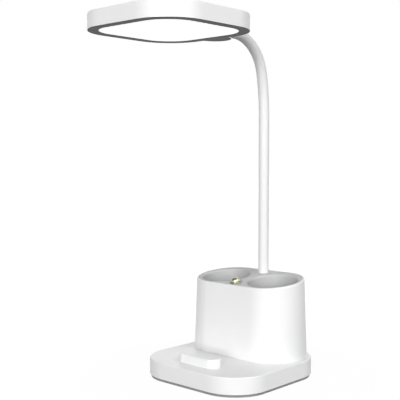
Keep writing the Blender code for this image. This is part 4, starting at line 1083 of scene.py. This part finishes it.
class LAMP_OT_neck(bpy.types.Operator):
    """Make the neck's sleeve: eight lengths, one over each joint"""
    bl_idname = "lamp.neck"
    bl_label = "Flexible neck"

    def execute(self, context):
        neck = sizes().neck
        total = sum(neck_stretches())
        for number in range(SEAMS):
            low = total * number / SEAMS
            high = total * (number + 1) / SEAMS
            start = neck_frame(low).translation
            end = neck_frame(high).translation
            if number == 0:
                low -= neck.buried
            if number == SEAMS - 1:
                high += neck.seated
            steps = math.ceil((high - low) / neck.ring)
            bm = bmesh.new()
            bmesh.ops.create_circle(bm, cap_ends=True, segments=sizes().fits.neck_steps,
                                    radius=neck.radius, matrix=neck_frame(low))
            cap = thicken(bm, next(iter(bm.faces)), (0, 0, 0))
            for step in range(1, steps + 1):
                before = neck_frame(low + (high - low) * (step - 1) / steps)
                after = neck_frame(low + (high - low) * step / steps)
                if step > 1:
                    cap = push(bm, cap, (0, 0, 0))
                bmesh.ops.transform(bm, matrix=after @ before.inverted(), verts=cap.verts)
            nodes = [f"neck_sleeve_{number}"]
            if number == SEAMS - 1:
                nodes.append(f"neck_sleeve_{SEAMS}")
            thing = make_piece(f"neck_skin_{number}", bm, None, "white_rubber", *nodes)
            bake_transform(thing)
        return {"FINISHED"}


class LAMP_OT_head(bpy.types.Operator):
    """Make the head's housing, its dark ring and the milky window"""
    bl_idname = "lamp.head"
    bl_label = "Head"

    def execute(self, context):
        head = sizes().head
        fits = sizes().fits
        middle = head_middle()
        bottom = middle.z
        half = head.side / 2
        bm = housing(lugged(), bottom + head.lip + head.joint, bottom + head.height, head.edge, head.wall)
        cover = make_piece("head_cover", bm, "head", "white_plastic", "head_housing")
        end = neck_end()
        hole = bmesh.new()
        depth = head.seat + head.seat_reach
        radius = sizes().neck.radius + fits.gap
        bmesh.ops.create_cone(hole, cap_ends=True, segments=fits.seat_steps, radius1=radius,
                              radius2=radius, depth=depth,
                              matrix=rearward((0, end.y - head.seat + depth / 2, end.z)))
        cut(cover, hole)
        even_shading(cover)

        bm = bmesh.new()
        outline(bm, lugged(), bottom)
        reach = half - head.ring
        outline(bm, rounded(reach, reach, head.corner - head.ring, middle.y), bottom)
        bmesh.ops.triangle_fill(bm, use_beauty=True, use_dissolve=False, edges=bm.edges[:],
                                normal=(0, 0, 1))
        grown = bmesh.ops.extrude_face_region(bm, geom=bm.faces[:])["geom"]
        bmesh.ops.translate(bm, vec=(0, 0, head.lip), verts=only(grown, bmesh.types.BMVert))
        bmesh.ops.recalc_face_normals(bm, faces=bm.faces)
        round_edges(bm, sharp_edges(bm, bottom), fits.crisp, fits.fine_steps)
        even_shading(make_piece("head_ring", bm, "head", "dark_plastic", "head_bezel",
                                finish="dark_ring"))

        bm = bmesh.new()
        reach -= fits.gap
        face = sheet(bm, rounded(reach, reach, head.corner - head.ring - fits.gap, middle.y),
                     bottom + head.recess)
        thicken(bm, face, (0, 0, head.window - head.recess))
        round_edges(bm, face.edges, fits.crisp, fits.fine_steps)
        even_shading(make_piece("light_window", bm, "head", "milky_plastic", "diffuser"))
        return {"FINISHED"}


class LAMP_OT_carried(bpy.types.Operator):
    """Give every CAD node its finish"""
    bl_idname = "lamp.carried"
    bl_label = "Finishes of kept pieces"

    def execute(self, context):
        slots = {part["node"]: part["material_slot"] for part in frame["record"]["subparts"]}
        for name, thing in frame["nodes"].items():
            thing.data.materials.clear()
            thing.data.materials.append(finish_for(slots[name]))
        return {"FINISHED"}


# Studio

# Name, degrees round from the camera to the right, degrees up, watts, whether gloss shows the lamp
LAMPS = (("key_lamp", -18, 10, 60.0, True), ("low_lamp", 32, 10, 11.0, True),
         ("side_lamp", 50, 40, 26.0, True), ("rear_lamp", 180, 12, 36.0, False))


class LAMP_OT_stage(bpy.types.Operator):
    """Make the pale floor, the soft lights and the camera"""
    bl_idname = "lamp.stage"
    bl_label = "Studio"

    def execute(self, context):
        scene = context.scene
        scene.view_settings.view_transform = "Standard"
        self.make_floor()
        self.make_world(scene)
        for lamp in LAMPS:
            self.make_light(*lamp)
        self.make_camera(scene)
        return {"FINISHED"}

    def make_floor(self):
        """A floor that the camera sees as white, except in the object's shadow."""
        stage = sizes().stage
        bm = bmesh.new()
        bmesh.ops.create_grid(bm, x_segments=1, y_segments=1, size=stage.floor,
                              matrix=Matrix.Translation(-UP * stage.floor_drop))
        floor = put("floor", bm)
        finish = Finish("studio_floor", Roughness=1.0, Specular_IOR_Level=0.0)
        finish.shader.inputs["Base Color"].default_value = shaded(sizes().colours.floor, 1.0)
        white = finish.node("ShaderNodeEmission", None, {"Strength": stage.white})
        far = finish.node("ShaderNodeVectorMath", {"operation": "LENGTH"}, {0: finish.place()}, "Value")
        clear = stage.clear + (1 - stage.clear) * finish.ramp(far, stage.near, stage.far)
        shade = Value(finish, finish.shader.outputs[0])
        finish.finish(finish.mix(finish.seen() * clear, shade, white))
        floor.data.materials.append(finish.material)

    def make_world(self, scene):
        """Soft light that is stronger from front and back than from the sides.

        Camera and gloss see white instead, and gloss a darker ceiling.
        """
        stage = sizes().stage
        world = bpy.data.worlds.new("studio")
        world.use_nodes = True
        scene.world = world
        sky = Graph(world.node_tree, "World Output")
        beside, ahead, ceiling, white = (
            sky.node("ShaderNodeBackground", None, {"Color": WHITE_LIGHT, "Strength": strength})
            for strength in (stage.beside, stage.ahead, stage.ceiling, 1.0))
        front = sky.along(toward(stage.view))
        soft = sky.mix(front * front, beside, ahead)
        above = sky.ramp(sky.along(stage.ceiling_place), stage.ceiling_low, stage.ceiling_high)
        sky.finish(sky.mix(sky.seen(), soft, sky.mix(above, white, ceiling)))

    def make_light(self, name, azimuth, elevation, power, gloss):
        """A round lamp that points at the object."""
        stage = sizes().stage
        light = bpy.data.lights.new(name, "AREA")
        light.shape = "DISK"
        light.size = stage.lamp_size
        light.energy = power
        lamp = bpy.data.objects.new(name, light)
        out = toward(stage.view + math.radians(azimuth), math.radians(elevation))
        lamp.location = UP * stage.aim + out * stage.distance
        lamp.rotation_mode = "QUATERNION"
        lamp.rotation_quaternion = out.to_track_quat("Z", "Y")
        lamp.visible_glossy = gloss
        bpy.context.scene.collection.objects.link(lamp)

    def make_camera(self, scene):
        """The photo's camera."""
        stage = sizes().stage
        camera = bpy.data.cameras.new("photo_view")
        camera.lens = stage.lens
        camera.sensor_width = FILM
        camera.clip_start = stage.clip
        thing = bpy.data.objects.new("photo_view", camera)
        thing.location = stage.camera
        thing.rotation_mode = "QUATERNION"
        thing.rotation_quaternion = (-toward(stage.view, stage.pitch)).to_track_quat("-Z", "Y")
        scene.collection.objects.link(thing)
        scene.camera = thing


OPERATORS = (LAMP_OT_base, LAMP_OT_port, LAMP_OT_holder, LAMP_OT_insert, LAMP_OT_button,
             LAMP_OT_neck, LAMP_OT_head, LAMP_OT_carried, LAMP_OT_stage)
GROUPS = (LampFits, BaseSizes, PortSizes, HolderSizes, ButtonSizes, NeckSizes, HeadSizes, LampColours,
          StageSizes, LampProperties)


class LAMP_PT_panel(bpy.types.Panel):
    """Sizes, colours and operators of the lamp."""
    bl_idname = "LAMP_PT_panel"
    bl_label = "Table lamp"
    bl_space_type = "VIEW_3D"
    bl_region_type = "UI"
    bl_category = "Lamp"

    def draw(self, context):
        """A box for each group of properties, then the operators."""
        lamp = context.scene.lamp
        for group in LampProperties.__annotations__:
            box = self.layout.box()
            box.label(text=group.capitalize())
            values = getattr(lamp, group)
            for name in values.__annotations__:
                box.prop(values, name)
        for operator in OPERATORS:
            self.layout.operator(operator.bl_idname)


def register():
    """Register the classes and give the scene its lamp properties."""
    for group in GROUPS + OPERATORS + (LAMP_PT_panel,):
        bpy.utils.register_class(group)
    bpy.types.Scene.lamp = PointerProperty(type=LampProperties)


def unregister():
    """Take them away again."""
    del bpy.types.Scene.lamp
    for group in reversed(GROUPS + OPERATORS + (LAMP_PT_panel,)):
        bpy.utils.unregister_class(group)


def main():
    """Dress the lamp and set up its studio."""
    register()
    bpy.ops.lamp.carried()
    bpy.ops.lamp.base()
    bpy.ops.lamp.port()
    bpy.ops.lamp.holder()
    bpy.ops.lamp.insert()
    bpy.ops.lamp.button()
    bpy.ops.lamp.neck()
    bpy.ops.lamp.head()
    bpy.ops.lamp.stage()


if __name__ == "__main__":
    main()
